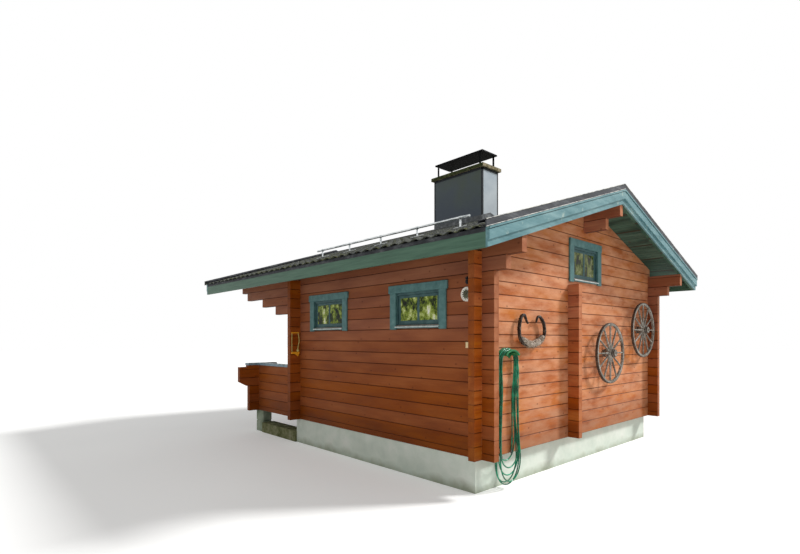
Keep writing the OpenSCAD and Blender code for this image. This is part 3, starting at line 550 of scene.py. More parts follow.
# Parapet caps: folded steel sheet with a light blue coating, dull from the weather, with streaks and
# leaf dirt. The light blue is partly a painted sky reflection.
cap_finish = mottled("blue_sheet_and_painted_sky", 0.45, 0.5, {0.34: "#5b6657", 0.48: "#7b96a3",
    0.75: "#9bb3be"}, (6.0, 6.0, 20.0), 5.0)
dress(cap_finish, "parapet_caps")

# Rafters: sawn spruce, 170 mm deep, in the soffit's dark green stain. The saw has left it furry.
soffit_tones = ("#2a4338", "#3a5a4a", "#4c6e5c")
sawn_finish = log_finish("sawn_spruce_rafters", "Y", 0.0, soffit_tones, 0.0, 41.0, 0.6)
dress(sawn_finish, "rafters")

# Roof boards: tongued boards 95 mm wide with chamfered edges, dark green stain underneath,
# laid along the ridge over the rafters. Battens stand on them, 0.9 m apart at the eaves.
slope, rafter_deep = 0.3213, 0.17
tilt = math.atan(slope)
ridge_foot = 3.085 + slope * half_width
deck_low, deck_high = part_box("roof_deck_front")
deck_reach = -deck_low.y


def on_slope(part, side):
    """Puts a part drawn flat (x, distance down the slope, height over the rafters) on a slope:
    a = s*cos(tilt) + n*sin(tilt), z = ridge - s*sin(tilt) + n*cos(tilt), y = side*a."""
    points, faces = part
    x, s, n = np.reshape(points, (-1, 3)).T
    y = side * (s * math.cos(tilt) + n * math.sin(tilt))
    z = ridge_foot + rafter_deep - s * math.sin(tilt) + n * math.cos(tilt)
    return np.c_[x, y, z], faces if side > 0 else [f[::-1] for f in faces]


soffit_finish = log_finish("stained_soffit_boards", "X", 0.0, soffit_tones, 0.0, 43.0, 0.6)
slope_length = deck_reach / math.cos(tilt)
count = round(slope_length / 0.095)
s = np.linspace(0.012, slope_length - 0.006, count + 1)
board_lows = spots(deck_low.x, s[:-1], 0.0)
board_highs = spots(deck_high.x, s[1:], 0.022)
batten_x = np.arange(deck_low.x + 0.05, deck_high.x, 0.9)
batten_lows = spots(batten_x, 0.05, 0.0225)
batten_highs = spots(batten_x + 0.05, slope_length - 0.003, 0.034)
for word, side in (("front", -1), ("back", 1)):
    part = boards(np.r_[board_lows, batten_lows], np.r_[board_highs, batten_highs], 0.004)
    make_piece(f"roof_boards_{word}", on_slope(part, side), soffit_finish,
        [f"roof_deck_{word}"])

# Tile sheets: steel rolled to the shape of tiles, 183 mm from crest to crest and 350 mm from
# step to step, dark grey. Lichen and moss sit on the crests and under each step.
wave, tile_length, lowest_lip = 0.183, 0.35, 3.355
row_run = tile_length * math.cos(tilt)
sheet_finish, add, point = start_finish("coated_tile_sheet", 0.6, 0.15)
growth = add("TexNoise", point, Scale=24.0, Detail=7.0, Roughness=0.66)
patch = add("TexNoise", point, Scale=1.1, Detail=3.0)
dots = add("TexVoronoi", point, Scale=34.0)
axes = add("SeparateXYZ", point, out=None).outputs
out_from_ridge = add("ABSOLUTE", axes["Y"])
row_part = add("FRACT", add("DIVIDE", add("SUBTRACT", lowest_lip, out_from_ridge), row_run))
lip = add("MapRange", row_part, 0.26, 0.0, 0.0, 0.1)
damp = add("MapRange", patch, 0.42, 0.66, -0.05, 0.09)
wet = add("ADD", growth, add("ADD", lip, damp))
mossy = add("MapRange", wet, 0.6, 0.7)
lichen = add("MapRange", add("MULTIPLY_ADD", wet, -0.55, add("ADD", dots, 0.22)), 0.16, 0.08)
film = add("TexNoise", point, Scale=3.0, Detail=6.0, Roughness=0.6)
coat = add("ValToRGB", film, stops={0.32: "#383b3d", 0.52: "#4d504d", 0.72: "#686a60"})
coat = add("Mix", lichen, coat, "#a7aa93")
add("Mix", add("MULTIPLY", mossy, 0.75), coat, "#66693f", to="Base Color")
add("MapRange", mossy, 0.0, 1.0, 0.55, 0.9, to="Roughness")
add("Bump", Strength=0.5, Distance=0.005, Height=add("MULTIPLY", mossy, growth), to="Normal")

sheet_low, sheet_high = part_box("roof_sheet_front")
sheet_reach = -sheet_low.y
sheet_top = ridge_foot + 0.25
first_crest = 3.6


def tile_rows(side):
    """A closed strip carried along X. Seen along X it runs up from the eave: each row starts at
    its lip, 14 mm over the row below, and rises to meet the slope's line. Crests keep that height,
    and between them it drops by 26 mm * (0.5 - 0.5*cos(2*pi*x/183 mm)) to the power 1.4."""
    count = int((sheet_reach - 0.1) / row_run)
    a, z, deep = [], [], []
    for i in range(count + 1):
        start = sheet_reach - i * row_run
        end = start - row_run if i < count else 0.0
        a += [start, start - 0.003, start - (start - end) * 0.45, end]
        drop = 0.014 * (start - end) / row_run
        z += [-0.0035, 0.0, -0.006 * (start - end) / row_run, -drop]
        deep += [1, 1, 1, 1]
    a += [0.0, sheet_reach - 0.4, sheet_reach]
    z += [-0.018, -0.018, -0.0065]
    deep += [0.5, 1, 1]
    a, z, deep = np.array(a), np.array(z), np.array(deep)
    x = np.linspace(sheet_low.x + 0.02, sheet_high.x - 0.02, 408)
    dip = 0.026 * (0.5 - 0.5 * np.cos(2 * np.pi * (x - first_crest) / wave))**1.4
    height = sheet_top - slope * a[None] + z[None] - dip[:, None] * deep[None]
    outline = np.stack([np.broadcast_to(side * a, height.shape), height], -1)
    points, faces = swept(x[:, None] * (1, 0, 0), outline, (0, 0, 1), (0, 1, 0))
    return points, faces if side > 0 else [f[::-1] for f in faces]


for word, side in (("front", -1), ("back", 1)):
    make_piece(f"tile_sheet_{word}", tile_rows(side), sheet_finish,
        [f"roof_sheet_{word}"], soften=50)

# Ridge cap and verge flashings: folded from the same coated steel, cleaner than the tiles. Its paler
# streaks, drawn out along the slope, are painted reflections.
fold_finish = mottled("coated_flashing_painted_streaks", 0.55, 0.2, {0.36: "#2e3033", 0.52: "#414348", 0.68: "#686b6d"},
    (5.0, 2.2, 12.0), 6.0, lumps=0.6, relief=(0.15, 0.004))
dress(fold_finish, "ridge_cap")

# Eave flashings: an angle of the same steel over each eave's first board. Its front leaf closes
# the gap between the fascia and the tiles, where it lies in black shade.
eave_z = ridge_foot + rafter_deep - slope * 3.3 + 0.04
leaf = np.array([(-3.302, 3.03), (-3.299, 3.03), (-3.299, eave_z), (-3.22, eave_z + 0.08 * slope),
    (-3.22, eave_z + 0.08 * slope + 0.002), (-3.302, eave_z + 0.0022)])
ends = [(deck_low.x + 0.001, 0, 0), (deck_high.x - 0.001, 0, 0)]
make_piece("eave_flashings", [swept(ends, leaf, (0, 0, 1), (0, 1, 0)),
    swept(ends, leaf[::-1] * (-1, 1), (0, 0, 1), (0, 1, 0))], fold_finish)


def along_verges(x0, x1, h0, h1, corner):
    """Bars over both slopes at both ends, from x0 to x1 along the ridge and from h0 to h1 over the
    rafters' underside: z = ridge - slope*|y| + h. Each runs towards -Y, as across x up does."""
    bars = []
    for end in (-1, 1):
        for y0, y1 in ((sheet_reach, 0.0), (0.0, -sheet_reach)):
            path = [(end * (x0 + x1) / 2, y, ridge_foot - slope * abs(y) + (h0 + h1) / 2)
                for y in (y0, y1)]
            bars.append(swept(path, rounded(x1 - x0, h1 - h0, corner)))
    return bars


# The verge's face and its top are one folded sheet. Its hems are pale: painted highlights on the edges.
verge_x, cap_h = 3.75, 0.3
make_piece("verge_sheets", along_verges(verge_x - 0.02, verge_x - 0.004, 0.22, cap_h - 0.004, 0.002)
    + along_verges(verge_x - 0.118, verge_x - 0.003, cap_h - 0.012, cap_h - 0.002, 0.002)
    + along_verges(verge_x - 0.12, verge_x - 0.112, 0.262, cap_h - 0.004, 0.002), fold_finish,
    ["verge_flashings"])
hem_highlight_finish = mottled("hem_painted_highlight", 0.5, 0.4, {0.36: "#5b5b5f", 0.48: "#b4b4ac", 0.7: "#dcdad0"},
    (20.0, 9.0, 20.0), 5.0)
make_piece("verge_hems", along_verges(verge_x - 0.01, verge_x + 0.002, cap_h - 0.008, cap_h + 0.002,
    0.004) + along_verges(verge_x - 0.012, verge_x + 0.004, 0.214, 0.224, 0.004), hem_highlight_finish,
    ["verge_flashings"])


def paint_finish(name, tones, worn, wear, scale):
    """Brushed alkyd paint on boards, weathered: streaks along X and patches of worn paint, where
    the noise is over 1 - wear. Worn places are rougher and 0.4 mm lower."""
    finish, add, point = start_finish(name, 0.5, 0.25)
    streak = add("TexNoise", add("Mapping", point, Scale=scale), Scale=1.0, Detail=6.0, Roughness=0.65)
    patch = add("TexNoise", point, Scale=9.0, Detail=6.0, Roughness=0.62)
    gone = add("MapRange", patch, 0.96 - wear, 1.08 - wear)
    paint = add("ValToRGB", streak, stops=tones)
    add("Mix", gone, paint, worn, to="Base Color")
    add("MapRange", gone, 0.0, 1.0, 0.45, 0.75, to="Roughness")
    add("Bump", Strength=0.3, Distance=0.002, Height=add("MULTIPLY_ADD", gone, -0.4, streak),
        to="Normal")
    return finish


# Eave fascias and barge boards: sawn boards under blue-green paint, faded and blotched where
# rain runs off the roof. Two overlapping boards and a strip make each barge.
fascia_finish = paint_finish("green_fascia_paint", {0.3: "#405f4e", 0.5: "#4b6c59", 0.72: "#577864"},
    "#67826e", 0.26, (2.0, 30.0, 30.0))
barge_finish = paint_finish("faded_barge_paint", {0.3: "#4b767b", 0.5: "#668f94", 0.7: "#86a9ab"},
    "#a3b9b1", 0.36, (9.0, 1.6, 9.0))
dress(fascia_finish, "eave_fascias")
dress(barge_finish, "barge_boards")

# Chimney: a masonry stack boxed in coated steel sheet, semi-gloss blue-grey. The long sides
# are two sheets each, lapped near the corner, and darker trims cover the corners and the head.
stack_low, stack_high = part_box("chimney_casing")


def stack_sheet(name, tones):
    """Coated sheet with broad soft clouds and faint dents, bluer towards the foot: a painted sheen."""
    finish, add, point = start_finish(name, 0.42, 0.2)
    film = add("TexNoise", point, Scale=2.2, Detail=3.0)
    # A painted sheen: bluer towards the foot
    rise = add("MapRange", add("SeparateXYZ", point, out="Z"), 4.2, 5.0, -0.15, 0.2)
    add("ValToRGB", add("ADD", film, rise), stops=dict(zip((0.35, 0.55, 0.75), tones)), to="Base Color")
    dent = add("TexNoise", point, Scale=3.0)
    add("Bump", Strength=0.12, Distance=0.02, Height=dent, to="Normal")
    return finish


a, b, d, top = stack_low.x + 0.003, stack_high.x - 0.003, stack_high.y - 0.003, stack_high.z
lap, skin = b - 0.17, 0.02
make_piece("chimney_long_sheets", boards([(a, -d, 4.076), (lap - 0.02, -d - 0.0015, 4.076),
    (a, d - skin, 4.076), (lap - 0.02, d - skin, 4.076)], [(lap, -d + skin, top),
    (b - 0.001, -d + skin, top), (lap, d, top), (b - 0.001, d + 0.0015, top)], 0.001),
    stack_sheet("coated_stack_sheet", ("#4c555f", "#4f595c", "#505a52")),
    ["chimney_casing"])
# End sheets: the same coated sheet, in pale tones that paint the sheen of the light on the short sides
make_piece("chimney_end_sheets", boards([(a, -d + skin, 4.1), (b - skin, -d + skin, 4.1)],
    [(a + skin, d - skin, top), (b, d - skin, top)], 0.001), stack_sheet("pale_stack_sheet_painted_sheen",
    ("#b3bcc2", "#bdc6cb", "#a9b5bd")), ["chimney_casing"])
trim_finish = mottled("black_coated_trim", 0.45, 0.2, {0.35: "#15191e", 0.7: "#262c32"}, 14.0, 4.0)
w, k = 0.028, 0.003
lows, highs = [], []
for x0, x1 in ((a - k, a + w), (b - w, b + k)):
    for y0, y1 in ((-d - k, -d), (d, d + k)):
        lows.append((x0, y0, 4.09))
        highs.append((x1, y1, top))
for x0, x1 in ((a - k, a), (b, b + k)):
    for y0, y1 in ((-d - k, -d + w), (d - w, d + k)):
        lows.append((x0, y0, 4.09))
        highs.append((x1, y1, top))
lows += [(a - k, -d - k, top - 0.045), (a - k, d, top - 0.045), (a - k, -d - k, top - 0.045),
    (b, -d - k, top - 0.045)]
highs += [(b + k, -d, top), (b + k, d + k, top), (a, d + k, top), (b + k, d + k, top)]
screws = [turned([(0, 0.0055), (0.0025, 0.0055), (0.004, 0.003)], 6, (x, side * (d + k - 0.001), z),
    (0, side, 0)) for x in (a + 0.014, b - 0.014) for side in (-1, 1)
    for z in np.arange(4.3, top, 0.24)]
make_piece("chimney_trims", [boards(lows, highs, 0.001)] + screws, trim_finish,
    ["chimney_casing"])

# Chimney flashing: soft sheet dressed to the tiles, dull grey with paler creases
flashing_finish = mottled("dressed_lead_sheet", 0.7, 0.2, {0.32: "#4b4e50", 0.55: "#6d7072",
    0.75: "#94989a"}, 12.0, 6.0, relief=(0.4, 0.006))
dress(flashing_finish, "chimney_flashing")

# Snow rail: a zinc-coated steel tube, 32 mm, over the front wall. It is bolted to five straps,
# 30 x 5 mm, each twisted a quarter turn between its foot on the sheet and the tube.
rail_low, rail_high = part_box("snow_rail")
rail_y, rail_z, rail_r = -half_width, rail_high.z - 0.02, 0.016
tube_finish = mottled("bright_zinc_tube", 0.38, 0.5, {0.36: "#8d9496", 0.5: "#ced3d4", 0.7: "#eceeee"},
    (9.0, 60.0, 60.0), 6.0, Metallic=0.9)
length = rail_high.x - rail_low.x
parts = [turned([(0, 0.006), (0, rail_r - 0.002), (0.002, rail_r), (length / 2, rail_r),
    (length - 0.002, rail_r), (length, rail_r - 0.002), (length, 0.006)], 20,
    (rail_low.x, rail_y, rail_z))]
foot_z = sheet_top - slope * half_width
for x in rail_low.x + 0.153 + np.arange(5) * (length - 0.306) / 4:
    t = np.linspace(0, 1, 15)
    turn = np.pi / 2 * (3 * t**2 - 2 * t**3)
    path = spots(x, rail_y, foot_z + 0.01 + t * (rail_z - foot_z + 0.006))
    across = spots(np.cos(turn), np.sin(turn), 0)
    up = spots(-np.sin(turn), np.cos(turn), 0)
    parts.append(swept(path, rounded(0.03, 0.005, 0.002, 1), up, across))
    s = np.array([-0.12, 0.118])
    parts.append(swept(spots(x, rail_y + s, foot_z + slope * s + 0.004), rounded(0.03, 0.005, 0.002, 1),
        (0, -math.sin(tilt), math.cos(tilt)), (-1, 0, 0)))
    bolt = [(0, 0.004), (0, 0.0095), (0.007, 0.0095), (0.009, 0.006)]
    parts.append(turned(bolt, 6, (x, rail_y - rail_r + 0.002, rail_z), (0, -1, 0)))
    parts.append(turned([(-0.019, 0.0165), (-0.019, 0.0195), (0.019, 0.0195), (0.019, 0.0165)], 20,
        (x, rail_y, rail_z)))
make_piece("snow_rail_tube", parts, tube_finish, ["snow_rail"], soften=40)

# Chimney slab: cast concrete, pitted, with moss along its edges. The rain hat over it is
# black-coated plate on four legs.
slab_finish, add, point = start_finish("mossy_cast_concrete", 0.92, 0.2)
moss = add("TexNoise", point, Scale=11.0, Detail=7.0, Roughness=0.7)
dry = add("ValToRGB", moss, stops={0.38: "#aa9f84", 0.52: "#8e8368", 0.6: "#5a5638", 0.7: "#3d421f"})
damp = add("ValToRGB", moss, stops={0.34: "#6c6a45", 0.46: "#3c4324", 0.62: "#2a3116"})
# The -Y edge takes the darker damp tones: moss, and painted shade on that side
moss_and_painted_shade_side = add("MapRange", add("SeparateXYZ", add("TexCoord", out="Normal"), out="Y"), -0.5, -0.8)
add("Mix", moss_and_painted_shade_side, dry, damp, to="Base Color")
add("Bump", Strength=0.8, Distance=0.012, Height=moss, to="Normal")
dress(slab_finish, "chimney_slab")
hat_finish = mottled("black_coated_plate", 0.7, 0.05, {0.35: "#0c0d0e", 0.7: "#191b1c"}, 10.0, 4.0)
dress(hat_finish, "chimney_hat")

# Windows: pine casings, frames and sashes in dark blue-green paint. The head board stands proud
# and runs past the side boards on the eave walls, and a folded sill sheds water between them.
window_finish = paint_finish("blue_green_window_paint", {0.3: "#456d6e", 0.5: "#577f7e",
    0.72: "#6a9290"}, "#869e94", 0.3, (9.0, 9.0, 9.0))
casing_w, casing_t, casing_leg, post_w = 0.118, 0.025, 0.06, 0.046
frame_w, stile_w, rail_w, head_w, sash_back, sash_face = 0.025, 0.048, 0.052, 0.045, -0.052, -0.018
windows = [((x, side * half_width, 2.346), (0, side, 0), 0.86, 0.472, 0.026) for x in (2.008, -0.145)
    for side in (-1, 1)]
windows.append(((3.125, 0.0, 3.095), (1, 0, 0), 0.8, 0.5, 0.0))


def on_wall(part, centre, outward):
    """Turns a part drawn as (along the wall, out of it, up) to face outward, one of +X, +Y, -Y."""
    points, faces = part
    v = np.array(outward, float)
    turn = np.stack([np.cross(v, (0, 0, 1)), v, (0, 0, 1)])
    return np.reshape(points, (-1, 3)) @ turn + np.array(centre), faces


casings, sashes, sills = [], [], []
for centre, outward, w, tall, horn in windows:
    half, top, low, c = w / 2, tall / 2, -tall / 2, casing_w
    casings.append(on_wall(boards([(-half - c, 0, low - casing_leg),
        (half - 0.008, 0, low - casing_leg), (-half, 0, low - 0.046),
        (-half - c - horn, 0, top - 0.008)], [(-half + 0.008, casing_t, top), (half + c, casing_t, top),
        (half, casing_t / 2, low - 0.012), (half + c + horn, casing_t + 0.007, top + c - 0.015)],
        0.003), centre, outward))
    # Frame: two jambs, a head and a sill piece
    inner, head, foot = half - frame_w, top - head_w, low + 0.015
    lows = [(-half, -0.06, low), (inner, -0.06, low), (-inner, -0.06, head), (-inner, -0.06, low)]
    highs = [(-inner, -0.001, top), (half, -0.001, top), (inner, -0.001, top), (inner, -0.001, foot)]
    # Sash: stiles, rails and the post, set back in the frame
    pane_x, pane_top, pane_low, p = inner - stile_w, head - 0.04, foot + rail_w, post_w / 2
    lows += [(-inner, sash_back, foot), (pane_x, sash_back, foot), (-pane_x, sash_back, pane_top),
        (-pane_x, sash_back, foot), (-p, sash_back, pane_low)]
    highs += [(-pane_x, sash_face, head), (inner, sash_face, head), (pane_x, sash_face, head),
        (pane_x, sash_face, pane_low), (p, sash_face, pane_top)]
    sashes.append(on_wall(boards(lows, highs, 0.0035), centre, outward))
    # Glazing beads, 9 mm square, round each pane
    d, g = 0.009, sash_face - 0.005
    for a, b in ((-pane_x, -p), (p, pane_x)):
        lows = [(a, g - d, pane_low), (b - d, g - d, pane_low), (a + d, g - d, pane_low),
            (a + d, g - d, pane_top - d)]
        highs = [(a + d, g, pane_top), (b, g, pane_top), (b - d, g, pane_low + d), (b - d, g, pane_top)]
        sashes.append(on_wall(boards(lows, highs, 0.003), centre, outward))
    sills.append(on_wall(swept([(-half + 0.001, 0, 0), (half - 0.001, 0, 0)],
        [(-0.004, low - 0.012), (casing_t + 0.01, low - 0.021), (casing_t + 0.01, low - 0.034),
        (casing_t + 0.012, low - 0.034), (casing_t + 0.012, low - 0.0185), (-0.004, low - 0.0015)],
        (0, 0, 1), (0, 1, 0)), centre, outward))
make_piece("window_casing_boards", casings, window_finish, ["window_casings"])
# Frames, sashes and beads take a darker copy of the window paint: painted shade of the reveals
painted_shade_sash_finish = paint_finish("sash_paint_painted_shade", {0.3: "#2f4d4e", 0.5: "#3f5f60", 0.72: "#507170"},
    "#6a8079", 0.28, (9.0, 9.0, 9.0))
make_piece("window_sash_bars", sashes, painted_shade_sash_finish, ["window_sashes"])

# Window sills: folded steel sheet with a pale coating; the pale tones are partly a painted highlight
sill_coat_and_highlight = mottled("pale_sill_and_painted_highlight", 0.3, 0.5, {0.3: "#9fb0ae", 0.6: "#d5dedb"}, 18.0, 4.0)
make_piece("window_sills", sills, sill_coat_and_highlight)

# Window glass: clear double panes. Their colour is painted: a painted reflection of bright green
# surroundings over the painted dark of the unlit room behind
glass_finish, add, point = start_finish("float_glass", 0.03, 0.12, IOR=1.52)
room = add("TexNoise", add("Mapping", point, Scale=(8.0, 8.0, 6.0)), Scale=1.0, Detail=6.0,
    Roughness=0.72)
painted_garden_reflection = add("ValToRGB", room, stops={0.38: "#0b0e06", 0.45: "#344610", 0.52: "#8fa232", 0.6: "#d2dc8e",
    0.69: "#fbfbf0"})
# The pane facing +X, in the gable, is painted darker still: painted shade of the unlit roof space
painted_loft_shade = add("MapRange", add("SeparateXYZ", add("TexCoord", out="Normal"), out="X"), 0.5, 0.9, 0.0, 0.6)
add("Mix", painted_loft_shade, painted_garden_reflection, "#16170a", to="Base Color")
add("Bump", Strength=0.05, Distance=0.002, Height=add("TexNoise", point, Scale=3.0), to="Normal")
dress(glass_finish, "window_glass")

# Porch door: a leaf of seven tongued boards in its frame, cased like the windows and in their
# paint. A steel lever turns in a round rose over the keyhole's, and two hinges carry the leaf.
# The door frame takes that darker copy too: painted shade
dress(painted_shade_sash_finish, "door_frame")
leaf_low, leaf_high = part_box("door_leaf")
leaf_x, way_low, way_high, way_top = -1.124, 0.63, 1.51, 2.49
y = np.linspace(leaf_low.y, leaf_high.y, 8)
make_piece("door_leaf_boards", boards(spots(leaf_x, y[:-1] + 0.0005, leaf_low.z),
    spots(leaf_high.x, y[1:] - 0.0005, leaf_high.z), 0.005), window_finish,
    ["door_leaf"])
face_x, w = -1.144, 0.095
make_piece("door_casing_boards", boards([(face_x - 0.025, way_low - w + 0.008, 0.491),
    (face_x - 0.025, way_high - 0.008, 0.491), (face_x - 0.032, way_low - w - 0.018, way_top - 0.008)],
    [(face_x, way_low + 0.008, way_top), (face_x, way_high + w - 0.008, way_top),
    (face_x, way_high + w + 0.018, way_top + 0.1)], 0.003), window_finish)
lever = np.array([leaf_x, leaf_high.y - 0.09, 1.49])
rose = [(0, 0.026), (0.005, 0.026), (0.009, 0.022), (0.01, 0.01)]
furniture = [turned(rose, 32, lever, (-1, 0, 0)), turned(rose, 32, lever - (0, 0, 0.085), (-1, 0, 0)),
    turned([(0.009, 0.009), (0.046, 0.009), (0.05, 0.006)], 20, lever, (-1, 0, 0)),
    boards([lever + (-0.0115, -0.002, -0.098)], [lever + (-0.0095, 0.002, -0.078)], 0.0004)]
furniture.append(swept(lever + np.array([(-0.043, 0.004, 0), (-0.043, -0.06, 0), (-0.042, -0.1, -0.002),
    (-0.034, -0.116, -0.003)]), rounded(0.011, 0.02, 0.004, 3)))
for z in (leaf_low.z + 0.22, leaf_high.z - 0.22):
    furniture.append(turned([(-0.045, 0.003), (-0.045, 0.0075), (-0.001, 0.0075), (0.001, 0.0075),
        (0.045, 0.0075), (0.045, 0.003)], 16, (leaf_x - 0.006, leaf_low.y + 0.004, z), (0, 0, 1)))
steel_finish = mottled("brushed_door_steel", 0.35, 0.5, {0.3: "#9ea1a2", 0.7: "#c9cbcb"},
    (300.0, 30.0, 300.0), 4.0, Metallic=1.0)
make_piece("door_furniture", furniture, steel_finish, ["door_leaf"], soften=40)

# Horse collar: two bent hames of ash, blackened by sweat and grease, in one hoop open at the top.
# Their tips turn in, and leather thongs are wound round them.
collar_low, collar_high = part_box("horse_collar")
collar_y, collar_z = (collar_low.y + collar_high.y) / 2, collar_low.z + 0.267
hame = np.array([(-0.088, 0.062), (-0.13, 0.115), (-0.183, 0.178), (-0.232, 0.155), (-0.272, 0.08),
    (-0.29, -0.01), (-0.278, -0.108), (-0.226, -0.183), (-0.122, -0.228), (0, -0.24), (0.127, -0.228),
    (0.244, -0.183), (0.31, -0.108), (0.33, -0.02), (0.308, 0.062), (0.252, 0.13), (0.182, 0.167),
    (0.14, 0.138), (0.118, 0.085)])
line = smooth_line(spots(wall_x + 0.058, collar_y + hame[:, 0], collar_z + hame[:, 1]), 0.012)
up = square_to(line)
s = np.linspace(0, 1, len(line))
thick = 0.62 + 0.38 * np.clip(np.minimum(s, 1 - s) / 0.12, 0, 1)
outline = rounded(0.046, 0.03, 0.011, 3) * thick[:, None, None]
parts = [swept(line, outline, up)]
for place in (0.125, 0.15, 0.175, 0.24, 0.76, 0.84, 0.865):
    i = int(place * len(line))
    parts.append(swept(line[i:i + 2], 1.14 * outline[i:i + 2], up[i:i + 2]))
hame_finish = mottled("greased_ash", 0.55, 0.3, {0.34: "#19130f", 0.52: "#332822", 0.68: "#7d7568"},
    (70.0, 22.0, 22.0), 6.0, relief=(0.6, 0.005))
make_piece("collar_hames", parts, hame_finish, ["horse_collar"], soften=45)

# Collar pad: coarse cloth stuffed with straw, round the hoop's foot. It has burst, and it is
# frayed and bleached. Its section swells to the middle, with lumps smoothed out of random heights.
rng = np.random.default_rng(5)
t = np.linspace(-0.98, 1.1, 100)
path = spots(wall_x + 0.056, collar_y + 0.012 + 0.3 * np.sin(t), collar_z - 0.002 - 0.212 * np.cos(t))
up = square_to(path)
full = np.sqrt(np.maximum(1 - np.abs((t - 0.06) / 1.04)**4, 0.02))
lump = rng.normal(size=(100, 30))
for _ in range(3):
    lump = (lump + np.roll(lump, 1, 0) + np.roll(lump, -1, 0) + np.roll(lump, 1, 1)
        + np.roll(lump, -1, 1)) / 5
swell = 1 + 0.075 * lump / lump.std()
a = np.arange(30) * 2 * np.pi / 30
outline = np.stack([swell * np.cos(a) * (0.016 + 0.032 * full)[:, None],
    swell * np.sin(a) * (0.008 + 0.036 * full)[:, None]], -1)
pad_points, pad_faces = swept(path, outline, up)
pad_finish, add, point = start_finish("frayed_canvas_and_straw", 0.95, 0.1)
fray = add("TexNoise", point, Scale=55.0, Detail=6.0, Roughness=0.7)
grime = add("TexNoise", point, Scale=9.0, Detail=3.0)
height = add("MULTIPLY_ADD", fray, 0.7, add("MULTIPLY", grime, 0.3))
add("ValToRGB", height, stops={0.36: "#3c3128", 0.46: "#8b7d6f", 0.55: "#c6b8aa", 0.7: "#e2d8cc"},
    to="Base Color")
add("Bump", Strength=0.8, Distance=0.006, Height=fray, to="Normal")
collar_pad = make_piece("collar_pad", (pad_points, pad_faces), pad_finish,
    ["horse_collar"], soften=60)

# Straw: stalks 2 mm thick that stand out of the pad's front and foot, bent in the middle
count = 420
i, j = rng.integers(4, 96, count), rng.integers(-3, 11, count)
root = pad_points.reshape(100, 30, 3)[i, j]
out = outline[i, j, :1] * (1, 0, 0) + outline[i, j, 1:] * up[i]
out /= np.linalg.norm(out, axis=1)[:, None]
lean = out + rng.normal(0, 0.55, (count, 3))
lean[:, 0] = np.maximum(lean[:, 0], -0.2)
reach = rng.uniform(0.007, 0.024, count)[:, None]
middle = root + 0.55 * reach * lean
tip = middle + 0.6 * reach * (lean + rng.normal(0, 0.5, (count, 3)) + (0, 0, -0.5))
tip[:, 2] = np.maximum(tip[:, 2], collar_low.z - 0.006)
stalk = np.stack([root - 0.002 * out, middle, tip], 1)
ring = np.array([(1, 0, 0), (-0.5, 0.87, 0), (-0.5, -0.87, 0.3)]) * 0.001
points = stalk[:, :, None] + ring * np.array([1, 0.9, 0.4])[:, None, None]
faces = ring_faces(3, 3)
faces = [[v + 9 * s for v in f] for part in (faces[:6], faces[6:]) for s in range(count) for f in part]
straw_finish = mottled("bleached_straw", 0.8, 0.2, {0.35: "#7b6c58", 0.6: "#cfc2ad"}, 45.0)
make_piece("collar_straw", (points, faces), straw_finish, ["horse_collar"])

# Wagon wheels: twelve ash spokes in a turned elm hub, six felloes, and an iron tyre shrunk on.
# The wood has gone silver-grey and open-grained outdoors, and the iron brown.
wheel_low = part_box("wagon_wheels")[0]
felloe_r, rim_x, rim_w = 0.458, wheel_low.x + 0.116, 0.042
woodwork, ironwork = [], []
# Spokes: distance from the hub's middle, depth and width
spoke = np.array([(0.07, 0.034, 0.032), (0.09, 0.034, 0.033), (0.15, 0.031, 0.027), (0.3, 0.027, 0.022),
    (0.42, 0.026, 0.024), (0.464, 0.026, 0.026)])
spoke_outline = rounded(1, 1, 0.36, 3) * spoke[:, None, 1:]
for y, z in ((0.641, 1.683), (2.006, 2.081)):
    hub = (wheel_low.x, y, z)
    woodwork.append(turned([(0, 0.052), (0, 0.056), (0.02, 0.061), (0.052, 0.064), (0.06, 0.073),
        (0.07, 0.078), (0.094, 0.08), (0.138, 0.08), (0.152, 0.077), (0.158, 0.066), (0.178, 0.058),
        (0.205, 0.053), (0.21, 0.049), (0.21, 0.024), (0.192, 0.022), (0.192, 0.002)], 32, hub))
    for d, r in ((0.026, 0.063), (0.162, 0.067), (0.19, 0.0575)):
        ironwork.append(turned([(d, r), (d + 0.001, r + 0.003), (d + 0.015, r + 0.003), (d + 0.016, r),
            (d + 0.016, r - 0.012), (d, r - 0.012)], 32, hub, hoop=True))
    for a in np.arange(12) * math.pi / 6:
        out = np.array([0, math.cos(a), math.sin(a)])
        woodwork.append(swept(np.array([rim_x, y, z]) + spoke[:, :1] * out, spoke_outline,
            (0, math.sin(a), -math.cos(a))))
    for start in np.radians(15 + 60 * np.arange(6)):
        a = start + np.radians(np.linspace(0.2, 59.8, 16))
        out = spots(0, np.cos(a), np.sin(a))
        woodwork.append(swept(np.array([rim_x, y, z]) + (felloe_r + 0.0175) * out,
            rounded(rim_w, 0.035, 0.006, 2), out))
    tyre = [(-0.02, 0.4932), (-0.02, 0.4985), (-0.016, 0.4998), (0.016, 0.4998), (0.02, 0.4985),
        (0.02, 0.4932)]
    ironwork.append(turned(tyre, 120, (rim_x, y, z), hoop=True))
grey_finish, add, point = start_finish("silvered_ash", 0.85, 0.15)
grain = add("TexNoise", point, Scale=42.0, Detail=6.0, Roughness=0.68)
tone = add("TexNoise", point, Scale=6.0, Detail=2.0)
height = add("MULTIPLY_ADD", grain, 0.65, add("MULTIPLY", tone, 0.35))
add("ValToRGB", height, stops={0.36: "#453f38", 0.5: "#8a857b", 0.62: "#bfbbb2"}, to="Base Color")
add("Bump", Strength=0.6, Distance=0.003, Height=grain, to="Normal")
iron_finish = mottled("rusted_iron", 0.75, 0.3, {0.35: "#2e2925", 0.55: "#54483f", 0.7: "#80705f"},
    60.0, 5.0, relief=(0.4, 0.001))
wood_faces = sum(len(faces) for _, faces in woodwork)
